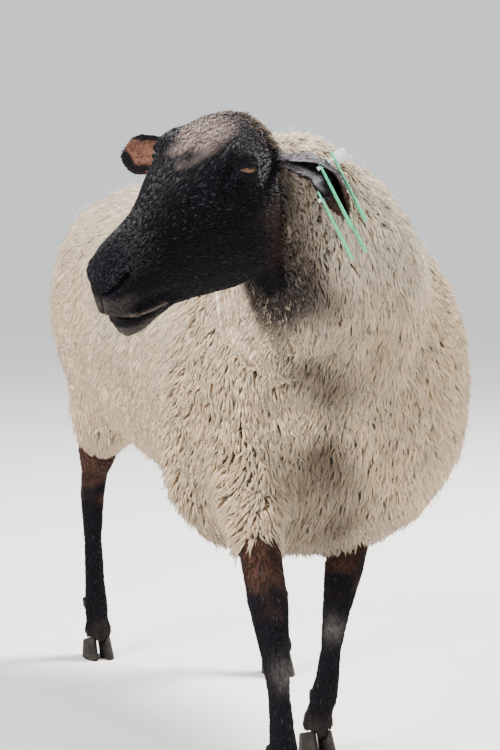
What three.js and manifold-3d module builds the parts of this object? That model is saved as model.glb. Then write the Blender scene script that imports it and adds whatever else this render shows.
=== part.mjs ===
// A life-size sheep of a black-faced meat breed, standing in full fleece with its head turned to its right.
// Units are millimetres. +Z is up, the sheep faces -Y and its left side is +X. The solids reach out to the
// tips of the coat. The flesh is modelled whole, as tubes of changing section joined together, and is then
// parted by thin cuts into the pieces that a person would name. Eyes, hooves and ear tags are separate.
import * as THREE from "three";
import { mergeVertices } from "three/addons/utils/BufferGeometryUtils.js";
import Module from "manifold-3d";

const wasm = await Module();
wasm.setup();

// ---- Driving dimensions -------------------------------------------------------------------------------
const SIZE = 0.95; // scale of the whole animal, applied last; every other length is before it
const GAP = 0.4; // between pieces that touch
const BACK_HEIGHT = 800; // top of the fleece over the back
const BRISKET_HEIGHT = 294; // lowest point of the fleece, between the forelegs

const HEAD_LENGTH = 348; // from the back of the skull to the tip of the nose
const HEAD_TURN = 56; // degrees from straight ahead towards the sheep's right
const HEAD_DIP = 22; // degrees below level
const HEAD_TILT = 9; // degrees, left side down
const HEAD_AT = [-131, -490, 836]; // middle of the back of the skull
const EYE_RADIUS = 14.5;
const EAR_WIDTH = 80; // unrolled
const EAR_THICKNESS = 6;

const HOOF_LENGTH = 62;
const HOOF_WIDTH = 26;
const TAG_THICKNESS = 1.6;

const UP = new THREE.Vector3(0, 0, 1);
const AHEAD = new THREE.Vector3(0, -1, 0);
const vec = (p) => (p.isVector3 ? p.clone() : new THREE.Vector3(...p));
const radians = THREE.MathUtils.degToRad;
const smoothLine = (points) => new THREE.CatmullRomCurve3(points.map(vec), false, "centripetal");

// ---- Solids -------------------------------------------------------------------------------------------
// A closed three.js geometry as a solid that can be joined and cut.
function solidOf(geometry) {
  const bare = geometry.index ? geometry.toNonIndexed() : geometry.clone();
  bare.deleteAttribute("normal");
  bare.deleteAttribute("uv");
  const merged = mergeVertices(bare, 1e-4);
  return new wasm.Manifold(
    new wasm.Mesh({
      numProp: 3,
      vertProperties: new Float32Array(merged.attributes.position.array),
      triVerts: new Uint32Array(merged.index.array),
    }),
  );
}

function geometryOf(solid) {
  const mesh = solid.getMesh();
  const geometry = new THREE.BufferGeometry();
  geometry.setAttribute("position", new THREE.BufferAttribute(mesh.vertProperties, 3));
  geometry.setIndex(new THREE.BufferAttribute(mesh.triVerts, 1));
  const flat = geometry.toNonIndexed();
  flat.computeVertexNormals();
  return flat;
}

// Joins rings of equal count into one closed geometry, with a fan over each end.
function skinRings(rings) {
  const sides = rings[0].length;
  const points = rings.flat();
  const faces = [];
  for (let r = 0; r + 1 < rings.length; r++)
    for (let s = 0; s < sides; s++) {
      const a = r * sides + s;
      const b = r * sides + ((s + 1) % sides);
      faces.push(a, b, b + sides, a, b + sides, a + sides);
    }
  const addFan = (first, turned) => {
    const middle = new THREE.Vector3();
    for (let s = 0; s < sides; s++) middle.add(points[first + s]);
    points.push(middle.divideScalar(sides));
    for (let s = 0; s < sides; s++) {
      const [a, b] = [first + s, first + ((s + 1) % sides)];
      faces.push(points.length - 1, turned ? b : a, turned ? a : b);
    }
  };
  addFan(0, true);
  addFan((rings.length - 1) * sides, false);
  const geometry = new THREE.BufferGeometry().setFromPoints(points);
  geometry.setIndex(faces);
  if (solidOf(geometry).volume() > 0) return geometry;
  geometry.setIndex(faces.reverse()); // it was inside out
  return geometry;
}

// Values between rows of [place, value, value, ...], on a smooth curve that doesn't overshoot them.
function between(rows, place) {
  const last = rows.length - 1;
  let k = 0;
  while (k < last - 1 && place > rows[k + 1][0]) k++;
  const step = rows[k + 1][0] - rows[k][0];
  const t = THREE.MathUtils.clamp((place - rows[k][0]) / step, 0, 1);
  const rise = (i, c) => (rows[i + 1][c] - rows[i][c]) / (rows[i + 1][0] - rows[i][0]);
  const slope = (i, c) => {
    if (i === 0) return rise(0, c);
    if (i === last) return rise(last - 1, c);
    const [before, after] = [rise(i - 1, c), rise(i, c)];
    return before * after <= 0 ? 0 : (2 * before * after) / (before + after);
  };
  return rows[k].slice(1).map((value, i) => {
    const c = i + 1;
    const blend = t * t * (3 - 2 * t);
    const bend = slope(k, c) * t * (1 - t) ** 2 - slope(k + 1, c) * t ** 2 * (1 - t);
    return value + (rows[k + 1][c] - value) * blend + step * bend;
  });
}

// A tube of changing section. Its centre line passes through `joints`, and a place along it is 0 at the
// first joint, 1 at the second and so on. Each of `rows` is [place, half width, reach towards top, reach
// away from top, flare, square]: flare widens the top half and narrows the bottom, and square above 1 fills
// out the corners. Each of `swells` is a bulge {place, angle, rise, long, wide}, with angle 0 sideways and
// 90 at the top.
function tube({ joints, rows, top, rings, sides, swells = [] }) {
  const line = smoothLine(joints);
  const [start, end] = [rows[0][0], rows[rows.length - 1][0]];
  const made = [];
  for (let r = 0; r < rings; r++) {
    const eased = (1 - Math.cos((Math.PI * r) / (rings - 1))) / 2;
    const share = THREE.MathUtils.lerp(r / (rings - 1), eased, 0.45); // rings crowd towards the ends
    const place = start + (end - start) * share;
    const centre = line.getPoint(place / (joints.length - 1));
    const along = line.getTangent(place / (joints.length - 1));
    const side = new THREE.Vector3().crossVectors(along, top).normalize();
    const up = new THREE.Vector3().crossVectors(side, along);
    const [half, above, below, flare = 0, square = 1] = between(rows, place);
    const bent = (x) => Math.sign(x) * Math.abs(x) ** (1 / square);
    const ring = [];
    for (let s = 0; s < sides; s++) {
      const angle = (2 * Math.PI * s) / sides;
      const [c, n] = [Math.cos(angle), Math.sin(angle)];
      const out = swells.reduce((sum, swell) => sum + swellAt(swell, place, angle), 0);
      const sideways = half * bent(c) * (1 + flare * n) + out * c;
      const upwards = (n > 0 ? above : below) * bent(n) + out * n;
      ring.push(centre.clone().addScaledVector(side, sideways).addScaledVector(up, upwards));
    }
    made.push(ring);
  }
  return skinRings(made);
}

// How far a swell, and its twin on the other side if it has one, lifts the surface at a place and angle.
function swellAt({ place: at, angle, rise, long, wide, single = false }, place, where) {
  const reach = Math.exp(-(((place - at) / long) ** 2));
  const off = (a) => Math.abs(THREE.MathUtils.euclideanModulo(where - a + Math.PI, 2 * Math.PI) - Math.PI);
  const near = (a) => Math.exp(-((off(a) / radians(wide)) ** 2));
  const twin = single ? radians(angle) : Math.PI - radians(angle);
  return rise * reach * Math.max(near(radians(angle)), near(twin));
}

const solidTube = (shape) => solidOf(tube(shape));

// A thin box that parts what it crosses, `GAP` thick along `normal` and `height` long along `along`.
function cut(at, normal, width, height = width, along = Math.abs(vec(normal).z) > 0.9 ? AHEAD : UP) {
  const z = vec(normal).normalize();
  const x = new THREE.Vector3().crossVectors(along, z).normalize();
  const y = new THREE.Vector3().crossVectors(z, x);
  const box = new THREE.BoxGeometry(width, height, GAP);
  return solidOf(box.applyMatrix4(new THREE.Matrix4().makeBasis(x, y, z).setPosition(vec(at))));
}

function ball(at, radius, detail = 2) {
  return solidOf(new THREE.IcosahedronGeometry(radius, detail).translate(...vec(at).toArray()));
}

// ---- Trunk, neck and tail -----------------------------------------------------------------------------
const TRUNK = {
  joints: [
    [8, -420, 545],
    [18, -280, 552],
    [26, -60, 562],
    [16, 150, 568],
    [0, 330, 578],
    [-6, 505, 590],
  ],
  top: UP,
  rings: 20,
  sides: 22,
  rows: [
    [0, 50, 50, 80, 0, 1.05], // place, half width, above, below, flare, square
    [0.1, 112, 108, 158, 0, 1.05],
    [0.45, 176, 185, 236, -0.02, 1.1],
    [1, 216, BACK_HEIGHT - 566, 552 - BRISKET_HEIGHT, -0.02, 1.1],
    [1.6, 222, BACK_HEIGHT - 562, 240, 0, 1.07],
    [2.3, 228, BACK_HEIGHT - 566, 226, 0, 1.07],
    [3, 222, BACK_HEIGHT - 570, 208, 0.03, 1.12],
    [4, 206, BACK_HEIGHT - 580, 176, 0.06, 1.2],
    [4.5, 190, 206, 150, 0.06, 1.2],
    [4.85, 140, 150, 118, 0.04, 1.1],
    [5, 70, 80, 62, 0, 1.05],
  ],
  swells: [
    { place: 0.8, angle: -25, rise: 16, long: 0.4, wide: 38 }, // shoulder
    { place: 0.75, angle: -137, rise: 37, long: 0.5, wide: 27, single: true }, // wool over the right elbow
    { place: 4.0, angle: 0, rise: 6, long: 0.5, wide: 35 }, // hip
    { place: 2.6, angle: -35, rise: 8, long: 0.8, wide: 40 }, // belly
  ],
};

const NECK = {
  joints: [
    [10, -240, 590],
    [2, -345, 668],
    [-36, -425, 742],
    [-92, -476, 806],
    [-150, -510, 836],
  ],
  top: UP,
  rings: 11,
  sides: 18,
  rows: [
    [0, 150, 165, 190],
    [1, 152, 150, 168],
    [2, 122, 112, 138],
    [3, 92, 86, 112],
    [3.6, 70, 70, 92],
    [4, 35, 45, 55],
  ],
};

const TAIL = {
  joints: [
    [-6, 462, 704],
    [-7, 508, 684],
    [-8, 526, 630],
    [-8, 522, 566],
    [-8, 520, 552],
  ],
  top: AHEAD,
  rings: 8,
  sides: 10,
  rows: [
    [0, 34, 24, 30],
    [1, 36, 24, 26],
    [2, 35, 22, 24],
    [3, 28, 18, 18],
    [4, 10, 7, 7],
  ],
};

// ---- Head ---------------------------------------------------------------------------------------------
const turn = radians(HEAD_TURN);
const dip = radians(HEAD_DIP);
const tilt = radians(HEAD_TILT);
const levelLeft = new THREE.Vector3(Math.cos(turn), -Math.sin(turn), 0);
const level = new THREE.Vector3(-Math.sin(turn), -Math.cos(turn), 0);
const HEAD_FORWARD = level.multiplyScalar(Math.cos(dip)).addScaledVector(UP, -Math.sin(dip));
const HEAD_LEFT = levelLeft.applyAxisAngle(HEAD_FORWARD, -tilt);
const HEAD_UP = new THREE.Vector3().crossVectors(HEAD_FORWARD, HEAD_LEFT);

// A direction or a point given along the head from the back of the skull, to its left and up from its axis.
function headWay(along, left, up) {
  return new THREE.Vector3()
    .addScaledVector(HEAD_FORWARD, along)
    .addScaledVector(HEAD_LEFT, left)
    .addScaledVector(HEAD_UP, up);
}
const inHead = (along, left, up) => headWay(along, left, up).add(vec(HEAD_AT));

const SKULL = {
  joints: [inHead(0, 0, 0), inHead(HEAD_LENGTH, 0, 0)],
  top: HEAD_UP,
  rings: 22,
  sides: 20,
  rows: [
    [0, 32, 55, 44, 0, 1], // place, half width, above, below, flare, square
    [0.037, 53, 82, 73, 0, 1],
    [0.11, 66, 101, 100, 0.04, 1.1],
    [0.22, 71, 106, 117, 0.06, 1.15],
    [0.33, 75, 103, 114, 0.1, 1.2],
    [0.42, 71, 94, 106, 0.08, 1.2],
    [0.515, 61, 81, 96, 0.06, 1.15],
    [0.625, 48, 68, 84, -0.04, 1.05],
    [0.735, 38, 56, 66, -0.1, 1],
    [0.83, 34, 49, 56, -0.1, 1],
    [0.9, 32, 43, 54, -0.06, 1],
    [0.953, 26, 33, 48, -0.03, 1],
    [0.985, 18, 21, 34, 0, 1],
    [1, 9, 9, 16, 0, 1],
  ],
  swells: [
    { place: 0.31, angle: 44, rise: 8, long: 0.08, wide: 22 }, // brow over the eye
    { place: 0.37, angle: 18, rise: -4, long: 0.07, wide: 14 }, // hollow of the eye
    { place: 0.24, angle: -30, rise: 5, long: 0.13, wide: 35 }, // cheek muscle
    { place: 0.55, angle: 2, rise: 4, long: 0.12, wide: 18 }, // facial crest
    { place: 0.92, angle: 12, rise: 2, long: 0.05, wide: 20 }, // wing of the nostril
  ],
};

const JAW = {
  joints: [inHead(60, 0, -62), inHead(160, 0, -58), inHead(240, 0, -58), inHead(326, 0, -54)],
  top: HEAD_UP,
  rings: 11,
  sides: 12,
  rows: [
    [0, 40, 30, 40],
    [0.4, 50, 40, 52],
    [1, 46, 36, 46],
    [1.6, 34, 30, 33],
    [2, 27, 22, 28],
    [2.5, 27, 22, 37],
    [2.8, 25, 18, 36],
    [2.95, 16, 10, 22],
    [3, 8, 5, 9],
  ],
};

const EYE = { along: 116, left: 62, up: 62 };
const eye = (side, grow = 0) => ball(inHead(EYE.along, side * EYE.left, EYE.up), EYE_RADIUS + grow);

// An ear is a leaf rolled round its length, open towards `mouth`. Its back follows a line from root to tip.
const EARS = {
  left: { line: [[40, 60, 50], [33, 125, 46], [46, 159, -21]], mouth: [0.82, 0.1, -0.4] },
  right: { line: [[44, -56, 24], [58, -118, 24], [66, -176, 12]], mouth: [0.85, 0.1, 0.45] },
};
const EAR_ROWS = [
  [0, 0.3, 2.6], // place, half width as a share of the ear's, roll in radians to each side
  [0.12, 0.38, 2.4],
  [0.3, 0.48, 1.9],
  [0.5, 0.5, 1.5],
  [0.7, 0.44, 1.15],
  [0.88, 0.28, 0.9],
  [1, 0.07, 0.7],
];

// The section of an ear at a place along it: a function from an angle off the middle of its back, and a
// depth below its outer face, to a point.
function earSection({ line, mouth }, place) {
  const curve = smoothLine(line.map((p) => inHead(...p)));
  const across = new THREE.Vector3().crossVectors(curve.getTangent(place), headWay(...mouth)).normalize();
  const open = new THREE.Vector3().crossVectors(across, curve.getTangent(place)).normalize();
  const [half, roll] = between(EAR_ROWS, place);
  const radius = (half * EAR_WIDTH) / roll;
  const centre = curve.getPoint(place).addScaledVector(open, radius);
  const at = (angle, depth) =>
    centre
      .clone()
      .addScaledVector(across, Math.sin(angle) * (radius - depth))
      .addScaledVector(open, -Math.cos(angle) * (radius - depth));
  return { at, roll, wall: Math.min(EAR_THICKNESS, radius * 0.7) };
}

function ear(shape) {
  const [rings, arc] = [9, 5];
  const made = [];
  for (let r = 0; r < rings; r++) {
    const { at, roll, wall } = earSection(shape, r / (rings - 1));
    const ring = [];
    for (let s = 0; s <= arc; s++) ring.push(at(THREE.MathUtils.lerp(-roll, roll, s / arc), 0));
    for (let s = arc; s >= 0; s--) ring.push(at(THREE.MathUtils.lerp(-roll, roll, s / arc) * 0.97, wall));
    made.push(ring);
  }
  return solidOf(skinRings(made));
}

// ---- Legs ---------------------------------------------------------------------------------------------
// Each leg's joints run from inside the body down to the fetlock; `foot` is where it stands. The cuts are
// at places along the joints: where the leg leaves the fleece, below the knee or hock, and above the fetlock.
const LEGS = {
  foreleg_left: {
    side: 1,
    foot: [28, -262],
    joints: [[98, -262, 520], [84, -292, 420], [34, -322, 236], [30, -284, 98]],
  },
  foreleg_right: {
    side: -1,
    foot: [-128, -582],
    joints: [[-98, -318, 520], [-112, -372, 420], [-124, -512, 230], [-127, -562, 98]],
  },
  hindleg_left: {
    side: 1,
    foot: [138, 240],
    joints: [[88, 330, 600], [108, 285, 470], [126, 300, 372], [136, 324, 268], [138, 262, 98]],
  },
  hindleg_right: {
    side: -1,
    foot: [-108, 448],
    joints: [[-96, 370, 600], [-106, 352, 470], [-109, 430, 372], [-109, 480, 268], [-108, 466, 98]],
  },
};
const FORELEG = {
  cuts: [1.74, 2.35, 2.75],
  names: ["knee", "cannon", "pastern"],
  rows: [
    [0, 66, 68, 74], // place, half width, towards the front, towards the back
    [1, 62, 58, 64],
    [1.3, 50, 46, 50],
    [1.6, 33, 32, 35],
    [2, 25, 27, 24],
    [2.25, 19, 20, 20],
    [2.6, 16, 15, 18],
    [2.85, 19, 17, 21],
    [3, 23, 20, 24],
    [3.5, 20, 19, 20],
    [4, 25, 28, 18],
    [5, 16, 18, 8],
  ],
};
const HINDLEG = {
  cuts: [2.2, 3.35, 3.75],
  names: ["shank", "cannon", "pastern"],
  rows: [
    [0, 88, 110, 120],
    [1, 82, 105, 92],
    [2, 42, 48, 48],
    [2.5, 24, 31, 28],
    [2.9, 22, 27, 34],
    [3.1, 21, 23, 30],
    [3.35, 17, 18, 21],
    [3.65, 16, 16, 19],
    [3.85, 19, 17, 21],
    [4, 23, 20, 24],
    [4.5, 20, 19, 20],
    [5, 25, 28, 18],
    [6, 16, 18, 8],
  ],
};
const kindOf = (leg) => (leg.joints.length === 4 ? FORELEG : HINDLEG);

function legSolid(leg) {
  const [x, y] = leg.foot;
  const joints = [...leg.joints, [x, y + 6, 46], [x, y, 24]];
  return solidTube({ joints, rows: kindOf(leg).rows, top: AHEAD, rings: 19, sides: 10 });
}

// A cut across a leg at a place along its joints.
function legCut(leg, place) {
  const line = smoothLine(leg.joints);
  const share = place / (leg.joints.length - 1);
  return cut(line.getPoint(share), line.getTangent(share), 124);
}

// One claw of a cloven hoof: rings that lean back as they rise, lower at the heel than at the toe.
function claw([x, y], side, grow = 0) {
  const [toeHeight, heelHeight, lean, cleft, taper] = [38, 24, 0.42, 1.6, 0.16];
  const [rings, sides] = [3, 10];
  const made = [];
  for (let r = 0; r < rings; r++) {
    const level = r / (rings - 1);
    const ring = [];
    for (let s = 0; s < sides; s++) {
      const angle = (2 * Math.PI * s) / sides;
      const across = (Math.cos(angle) * 0.5 + 0.5) ** 0.75;
      const along = Math.sin(angle); // 1 at the toe, -1 at the heel
      const height = level * THREE.MathUtils.lerp(heelHeight, toeHeight, along * 0.5 + 0.5);
      const narrow = 1 - taper * level;
      const wide = (HOOF_WIDTH - cleft) * narrow * (1 - 0.28 * Math.max(along, 0) ** 2);
      const ahead = along * HOOF_LENGTH * 0.5 * narrow - height * lean;
      const spot = new THREE.Vector3(x + side * (cleft + across * wide), y - ahead, height);
      const outwards = new THREE.Vector3(side * Math.cos(angle), -along, level ? 1 : 0);
      ring.push(spot.addScaledVector(outwards, grow));
    }
    made.push(ring);
  }
  return solidOf(skinRings(made));
}

// A dewclaw is a small blunt cone behind the fetlock, pointing down and back.
function dewclaw({ joints }, side, grow = 0) {
  const [x, y, z] = joints[joints.length - 1];
  const cone = new THREE.CylinderGeometry(7 + grow, 3.5 + grow, 19 + 2 * grow, 7);
  cone.rotateX(Math.PI * 0.5 + 0.6);
  return solidOf(cone.translate(x + side * 12, y + 22, z - 12));
}

// ---- Ear tags -----------------------------------------------------------------------------------------
// Two bare tags in the left ear. Each is a grey stud whose pin passes through a green flag behind the ear,
// the ear itself and a second flag in front of it.
const TAG = {
  // place along the ear, and angle off the middle of its back
  at: { tag_near: [0.54, -0.6], tag_far: [0.78, 0.45] },
  face: [-0.74, 0.58, 0.33], // out of the back of the ear
  hang: [0.07, 0.5, -0.86],
  flagLength: 84,
  flagWidth: 30,
  behind: 4, // from the ear's back to the flag behind it
  before: 15, // from the ear's back to the flag in front of it
};

// A flag of thin plastic that widens below its hole, `off` along the face from a point on the ear's back.
function flag(point, off, grow = 0) {
  const [half, long, neck] = [TAG.flagWidth / 2 + grow, TAG.flagLength + grow, 7 + grow];
  const outline = new THREE.Shape();
  outline.moveTo(-neck, 4);
  outline.lineTo(-half, 5 - long);
  outline.quadraticCurveTo(-half, -long, 5 - half, -long);
  outline.lineTo(half - 5, -long);
  outline.quadraticCurveTo(half, -long, half, 5 - long);
  outline.lineTo(neck, 4);
  outline.absarc(0, 4, neck, 0, Math.PI, false);
  const depth = TAG_THICKNESS + 2 * grow;
  const plate = new THREE.ExtrudeGeometry(outline, { depth, bevelEnabled: false, curveSegments: 4 });
  const y = headWay(...TAG.hang).negate().normalize();
  const face = headWay(...TAG.face);
  const z = face.addScaledVector(y, -face.dot(y)).normalize();
  const x = new THREE.Vector3().crossVectors(y, z);
  const corner = point.clone().addScaledVector(z, off - grow);
  return solidOf(plate.applyMatrix4(new THREE.Matrix4().makeBasis(x, y, z).setPosition(corner)));
}

// A round bar along the tags' face direction, from `start` to `end` behind a point on the ear's back.
function bar(point, radius, start, end) {
  const face = headWay(...TAG.face).normalize();
  const turned = new THREE.Quaternion().setFromUnitVectors(new THREE.Vector3(0, 1, 0), face);
  const rod = new THREE.CylinderGeometry(radius, radius, end - start, 14).applyQuaternion(turned);
  return solidOf(rod.translate(...point.clone().addScaledVector(face, (start + end) / 2)));
}

function tag([share, angle]) {
  const point = earSection(EARS.left, share).at(angle, 0);
  const back = TAG.behind + TAG_THICKNESS + GAP;
  const pin = (grow) => bar(point, 2.5 + grow, -TAG.before - 4 - grow, back + 1);
  const head = (grow) => bar(point, 8 + grow, back - grow, back + 15 + grow);
  return {
    room: pin(GAP).add(head(GAP)).add(flag(point, -TAG.before, GAP)).add(flag(point, TAG.behind, GAP)),
    stud: head(0).add(pin(0)),
    flag_back: flag(point, TAG.behind).subtract(pin(GAP)),
    flag_front: flag(point, -TAG.before).subtract(pin(GAP)),
  };
}

// ---- Assembly -----------------------------------------------------------------------------------------
const MATERIALS = {
  fleece: new THREE.MeshStandardMaterial({ color: 0xd9ccb4, roughness: 0.95, metalness: 0 }),
  black_hair: new THREE.MeshStandardMaterial({ color: 0x1c1a1c, roughness: 0.7, metalness: 0 }),
  eye: new THREE.MeshStandardMaterial({ color: 0x4a2c14, roughness: 0.1, metalness: 0 }),
  horn: new THREE.MeshStandardMaterial({ color: 0x3a352f, roughness: 0.6, metalness: 0 }),
  tag_green: new THREE.MeshStandardMaterial({ color: 0x1f9d62, roughness: 0.4, metalness: 0 }),
  tag_grey: new THREE.MeshStandardMaterial({ color: 0xa9b0b4, roughness: 0.4, metalness: 0 }),
};

const model = new THREE.Group();
function place(name, solid, material) {
  const mesh = new THREE.Mesh(geometryOf(solid.scale(SIZE)), MATERIALS[material]);
  mesh.name = name;
  model.add(mesh);
}

let flesh = [TRUNK, NECK, TAIL, SKULL, JAW].map(solidTube).reduce((all, solid) => all.add(solid));
for (const leg of Object.values(LEGS)) flesh = flesh.add(legSolid(leg));
for (const side of [1, -1]) flesh = flesh.subtract(eye(side, GAP));
for (const leg of Object.values(LEGS))
  for (const side of [1, -1]) {
    flesh = flesh.subtract(claw(leg.foot, side, GAP));
    flesh = flesh.subtract(dewclaw(leg, side, GAP));
  }

// Where the body is parted, and a point inside each of the pieces that this leaves.
const cuts = [
  cut([0, -318, 665], [0, -0.81, 0.58], 560, 460), // neck from chest
  cut(inHead(16, 0, -10), headWay(0.97, 0, 0.24), 340), // head from neck
  cut(inHead(305, 0, -51), headWay(-0.1, 0, 1), 120, 128, HEAD_FORWARD), // mouth
  cut(inHead(244, 0, -98), headWay(1, 0, -0.1), 120, 84, HEAD_UP), // behind the chin
  cut([0, -150, 560], [0, 1, 0], 620), // chest from barrel
  cut([0, 225, 560], [0, 1, 0], 620), // barrel from rump
  cut([0, 425, 462], [0, 0, 1], 640, 400), // rump from thighs
  cut([4, 400, 400], [1, 0, 0], 350, 124), // between the thighs
  cut([-8, 514, 620], [0, 1, 0], 130, 260), // tail
];
const inside = {
  trunk_chest: [0, -250, 560],
  trunk_barrel: [0, 50, 560],
  trunk_rump: [0, 350, 600],
  hindleg_left_thigh: [110, 320, 440],
  hindleg_right_thigh: [-110, 340, 440],
  neck: [-20, -400, 730],
  head: inHead(150, 0, 0),
  lower_jaw: inHead(290, 0, -74),
  tail: [-8, 528, 620],
};
for (const [name, leg] of Object.entries(LEGS)) {
  const line = smoothLine(leg.joints);
  const kind = kindOf(leg);
  kind.names.forEach((piece, i) => {
    cuts.push(legCut(leg, kind.cuts[i]));
    const middle = (kind.cuts[i] + (kind.cuts[i + 1] ?? leg.joints.length - 1)) / 2;
    inside[name + "_" + piece] = line.getPoint(middle / (leg.joints.length - 1));
  });
}

const pieces = flesh.subtract(cuts.reduce((all, slab) => all.add(slab))).decompose();
const blackHaired = /^head|jaw|foreleg|hindleg_\w+_(shank|cannon|pastern)/;
for (const [name, point] of Object.entries(inside)) {
  const found = pieces.find((piece) => !piece.intersect(ball(point, 3, 0)).isEmpty());
  if (!found) throw new Error("no piece at " + name);
  place(name, found, blackHaired.test(name) ? "black_hair" : "fleece");
}
let leftEar = ear(EARS.left).subtract(flesh);
for (const [name, where] of Object.entries(TAG.at)) {
  const { room, stud, flag_front, flag_back } = tag(where);
  leftEar = leftEar.subtract(room);
  place(name + "_stud", stud, "tag_grey");
  place(name + "_flag_front", flag_front, "tag_green");
  place(name + "_flag_back", flag_back, "tag_green");
}
place("ear_left", leftEar, "black_hair");
place("ear_right", ear(EARS.right).subtract(flesh), "black_hair");
place("eye_left", eye(1), "eye");
place("eye_right", eye(-1), "eye");
for (const [name, leg] of Object.entries(LEGS))
  for (const [label, side] of [["outer", leg.side], ["inner", -leg.side]]) {
    place(name + "_hoof_" + label, claw(leg.foot, side), "horn");
    place(name + "_dewclaw_" + label, dewclaw(leg, side), "horn");
  }

// The origin is on the floor, under the middle of the whole sheep.
const middle = new THREE.Box3().setFromObject(model).getCenter(new THREE.Vector3());
model.position.set(-middle.x, -middle.y, 0);

export default model;
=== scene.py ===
"""A black-faced sheep in full fleece, as a still museum model in its studio.

Lengths are in metres unless a name says otherwise. +Z is up, the sheep faces -Y and its left side is +X.
"""

import math

import bmesh
import bpy
import numpy as np
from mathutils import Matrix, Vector
from mathutils.bvhtree import BVHTree
from mathutils.kdtree import KDTree


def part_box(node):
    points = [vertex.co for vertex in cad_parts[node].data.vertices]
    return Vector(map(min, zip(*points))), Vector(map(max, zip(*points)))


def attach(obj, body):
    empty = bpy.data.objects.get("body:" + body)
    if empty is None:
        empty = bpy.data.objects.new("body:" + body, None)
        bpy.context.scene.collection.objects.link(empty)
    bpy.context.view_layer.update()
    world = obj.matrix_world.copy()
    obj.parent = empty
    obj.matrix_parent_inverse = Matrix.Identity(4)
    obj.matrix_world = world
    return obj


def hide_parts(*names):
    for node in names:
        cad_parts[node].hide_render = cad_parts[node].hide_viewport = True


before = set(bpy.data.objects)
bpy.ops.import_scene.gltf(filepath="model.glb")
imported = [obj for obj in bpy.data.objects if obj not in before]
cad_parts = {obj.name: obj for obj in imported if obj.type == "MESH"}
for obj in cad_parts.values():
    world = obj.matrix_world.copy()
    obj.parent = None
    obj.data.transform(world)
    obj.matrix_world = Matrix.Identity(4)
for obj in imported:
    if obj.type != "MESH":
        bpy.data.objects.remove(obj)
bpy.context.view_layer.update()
MM = 0.001
rng = np.random.default_rng(11)

# ---- Driving values
LEGS = ("foreleg_left", "foreleg_right", "hindleg_left", "hindleg_right")
TRUNK = ("trunk_chest", "trunk_barrel", "trunk_rump", "neck", "hindleg_left_thigh", "hindleg_right_thigh")
HEAD = ("head", "lower_jaw")
EARS = ("ear_left", "ear_right")
EYES = ("eye_left", "eye_right")
CLAWS = [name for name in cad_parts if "hoof" in name or "dewclaw" in name]
LIMB_PIECES = ("knee", "cannon", "pastern", "shank")

FLEECE_DEPTH = 23 * MM  # from the skin to the tips of the fleece
NAPE_DEPTH = 12 * MM  # where the fleece meets the face
ARMPIT_DEPTH = 10 * MM
TAIL_DEPTH = 9 * MM
UNDER_HEAD_DEPTH = 7 * MM  # added for the body's skin where it passes under the head's
IN_NECK_DEPTH = 13 * MM  # added for the head's skin where it runs back inside the neck
WOOL_FROM = 5 * MM  # depth of coat above which the head's skin bears wool
HAIR_DEPTH = 2.2 * MM  # short black hair of the face and legs
EAR_HAIR_DEPTH = 1.0 * MM
HAIR_UP_TO = 7 * MM  # depth of coat below which the head's skin bears short hair
LEG_RUNS_UP = 75 * MM  # of a leg's skin, from the top of the knee or shank into the body
BODY_VOXEL = 8 * MM
HEAD_VOXEL = 2 * MM
LEG_VOXEL = 3 * MM
CLAW_VOXEL = 2 * MM
FINE_WITHIN = 16 * MM  # of the eyes, nostrils and mouth
SOLE_BAND = 1.5 * MM  # height of a claw that counts as its sole

HEAD_AT = np.array([-53.0, -400.1, 794.2]) * MM  # middle of the back of the skull
HEAD_TURN, HEAD_DIP, HEAD_TILT = np.radians([56, 22, 9])
EYE_SLANT = math.radians(20)  # of the lids' corners against the head's own axis

CAMERA_AT = (-1.0321, -3.3619, 0.8835)
CAMERA_HEADING = math.radians(18)  # clockwise from +Y, seen from above
CAMERA_DIP = math.radians(6.24)
CAMERA_LENS = 122.9  # mm, for a 36 mm high picture

WOOL_SPACING = 3.5 * MM
WOOL_RUN = 25 * MM  # how far a lock hangs down along the body
WOOL_HALF_WIDTH = 1.68 * MM
WOOL_WAVE = 2.8 * MM
LOCK_SHARE = 0.15  # locks for each tuft
STRAYS = 5000
STRAY_HALF_WIDTH = 0.5 * MM
STRAY_WAVE = 3.4 * MM
FACE_SPACING = 2.75 * MM
LEG_SPACING = 3.5 * MM
FACE_HAIR = 7 * MM
HAIR_CLUMP_SHARE = 0.22  # clumps for each tuft
TUFT_WIDE, TUFT_THICK = 1.25, 0.8  # shares of the half width, across the tuft and through it
CLEAR_OF_SKIN, CLEAR_OF_CLAW = 1.5 * MM, 0.2 * MM  # height over its root at which a tuft must be free
TUFTS_PER_PIECE = 14000
UV_PATCH = 0.003  # of each tuft on the unwrap

STUDIO_LIGHT = (0.92, 0.95, 1.0, 1)
FLOOR_RADIUS = 40
LIGHTS_AIM = (0, -0.1, 0.5)
LIGHTS = (  # name, place, size, power, colour
    ("key", (2.2, 0.7, 3.6), 1.2, 560, (1.0, 0.96, 0.9)),
    ("fill", (-3.4, -1.6, 2.4), 2.0, 400, (1.0, 0.96, 0.91)),
)

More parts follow.
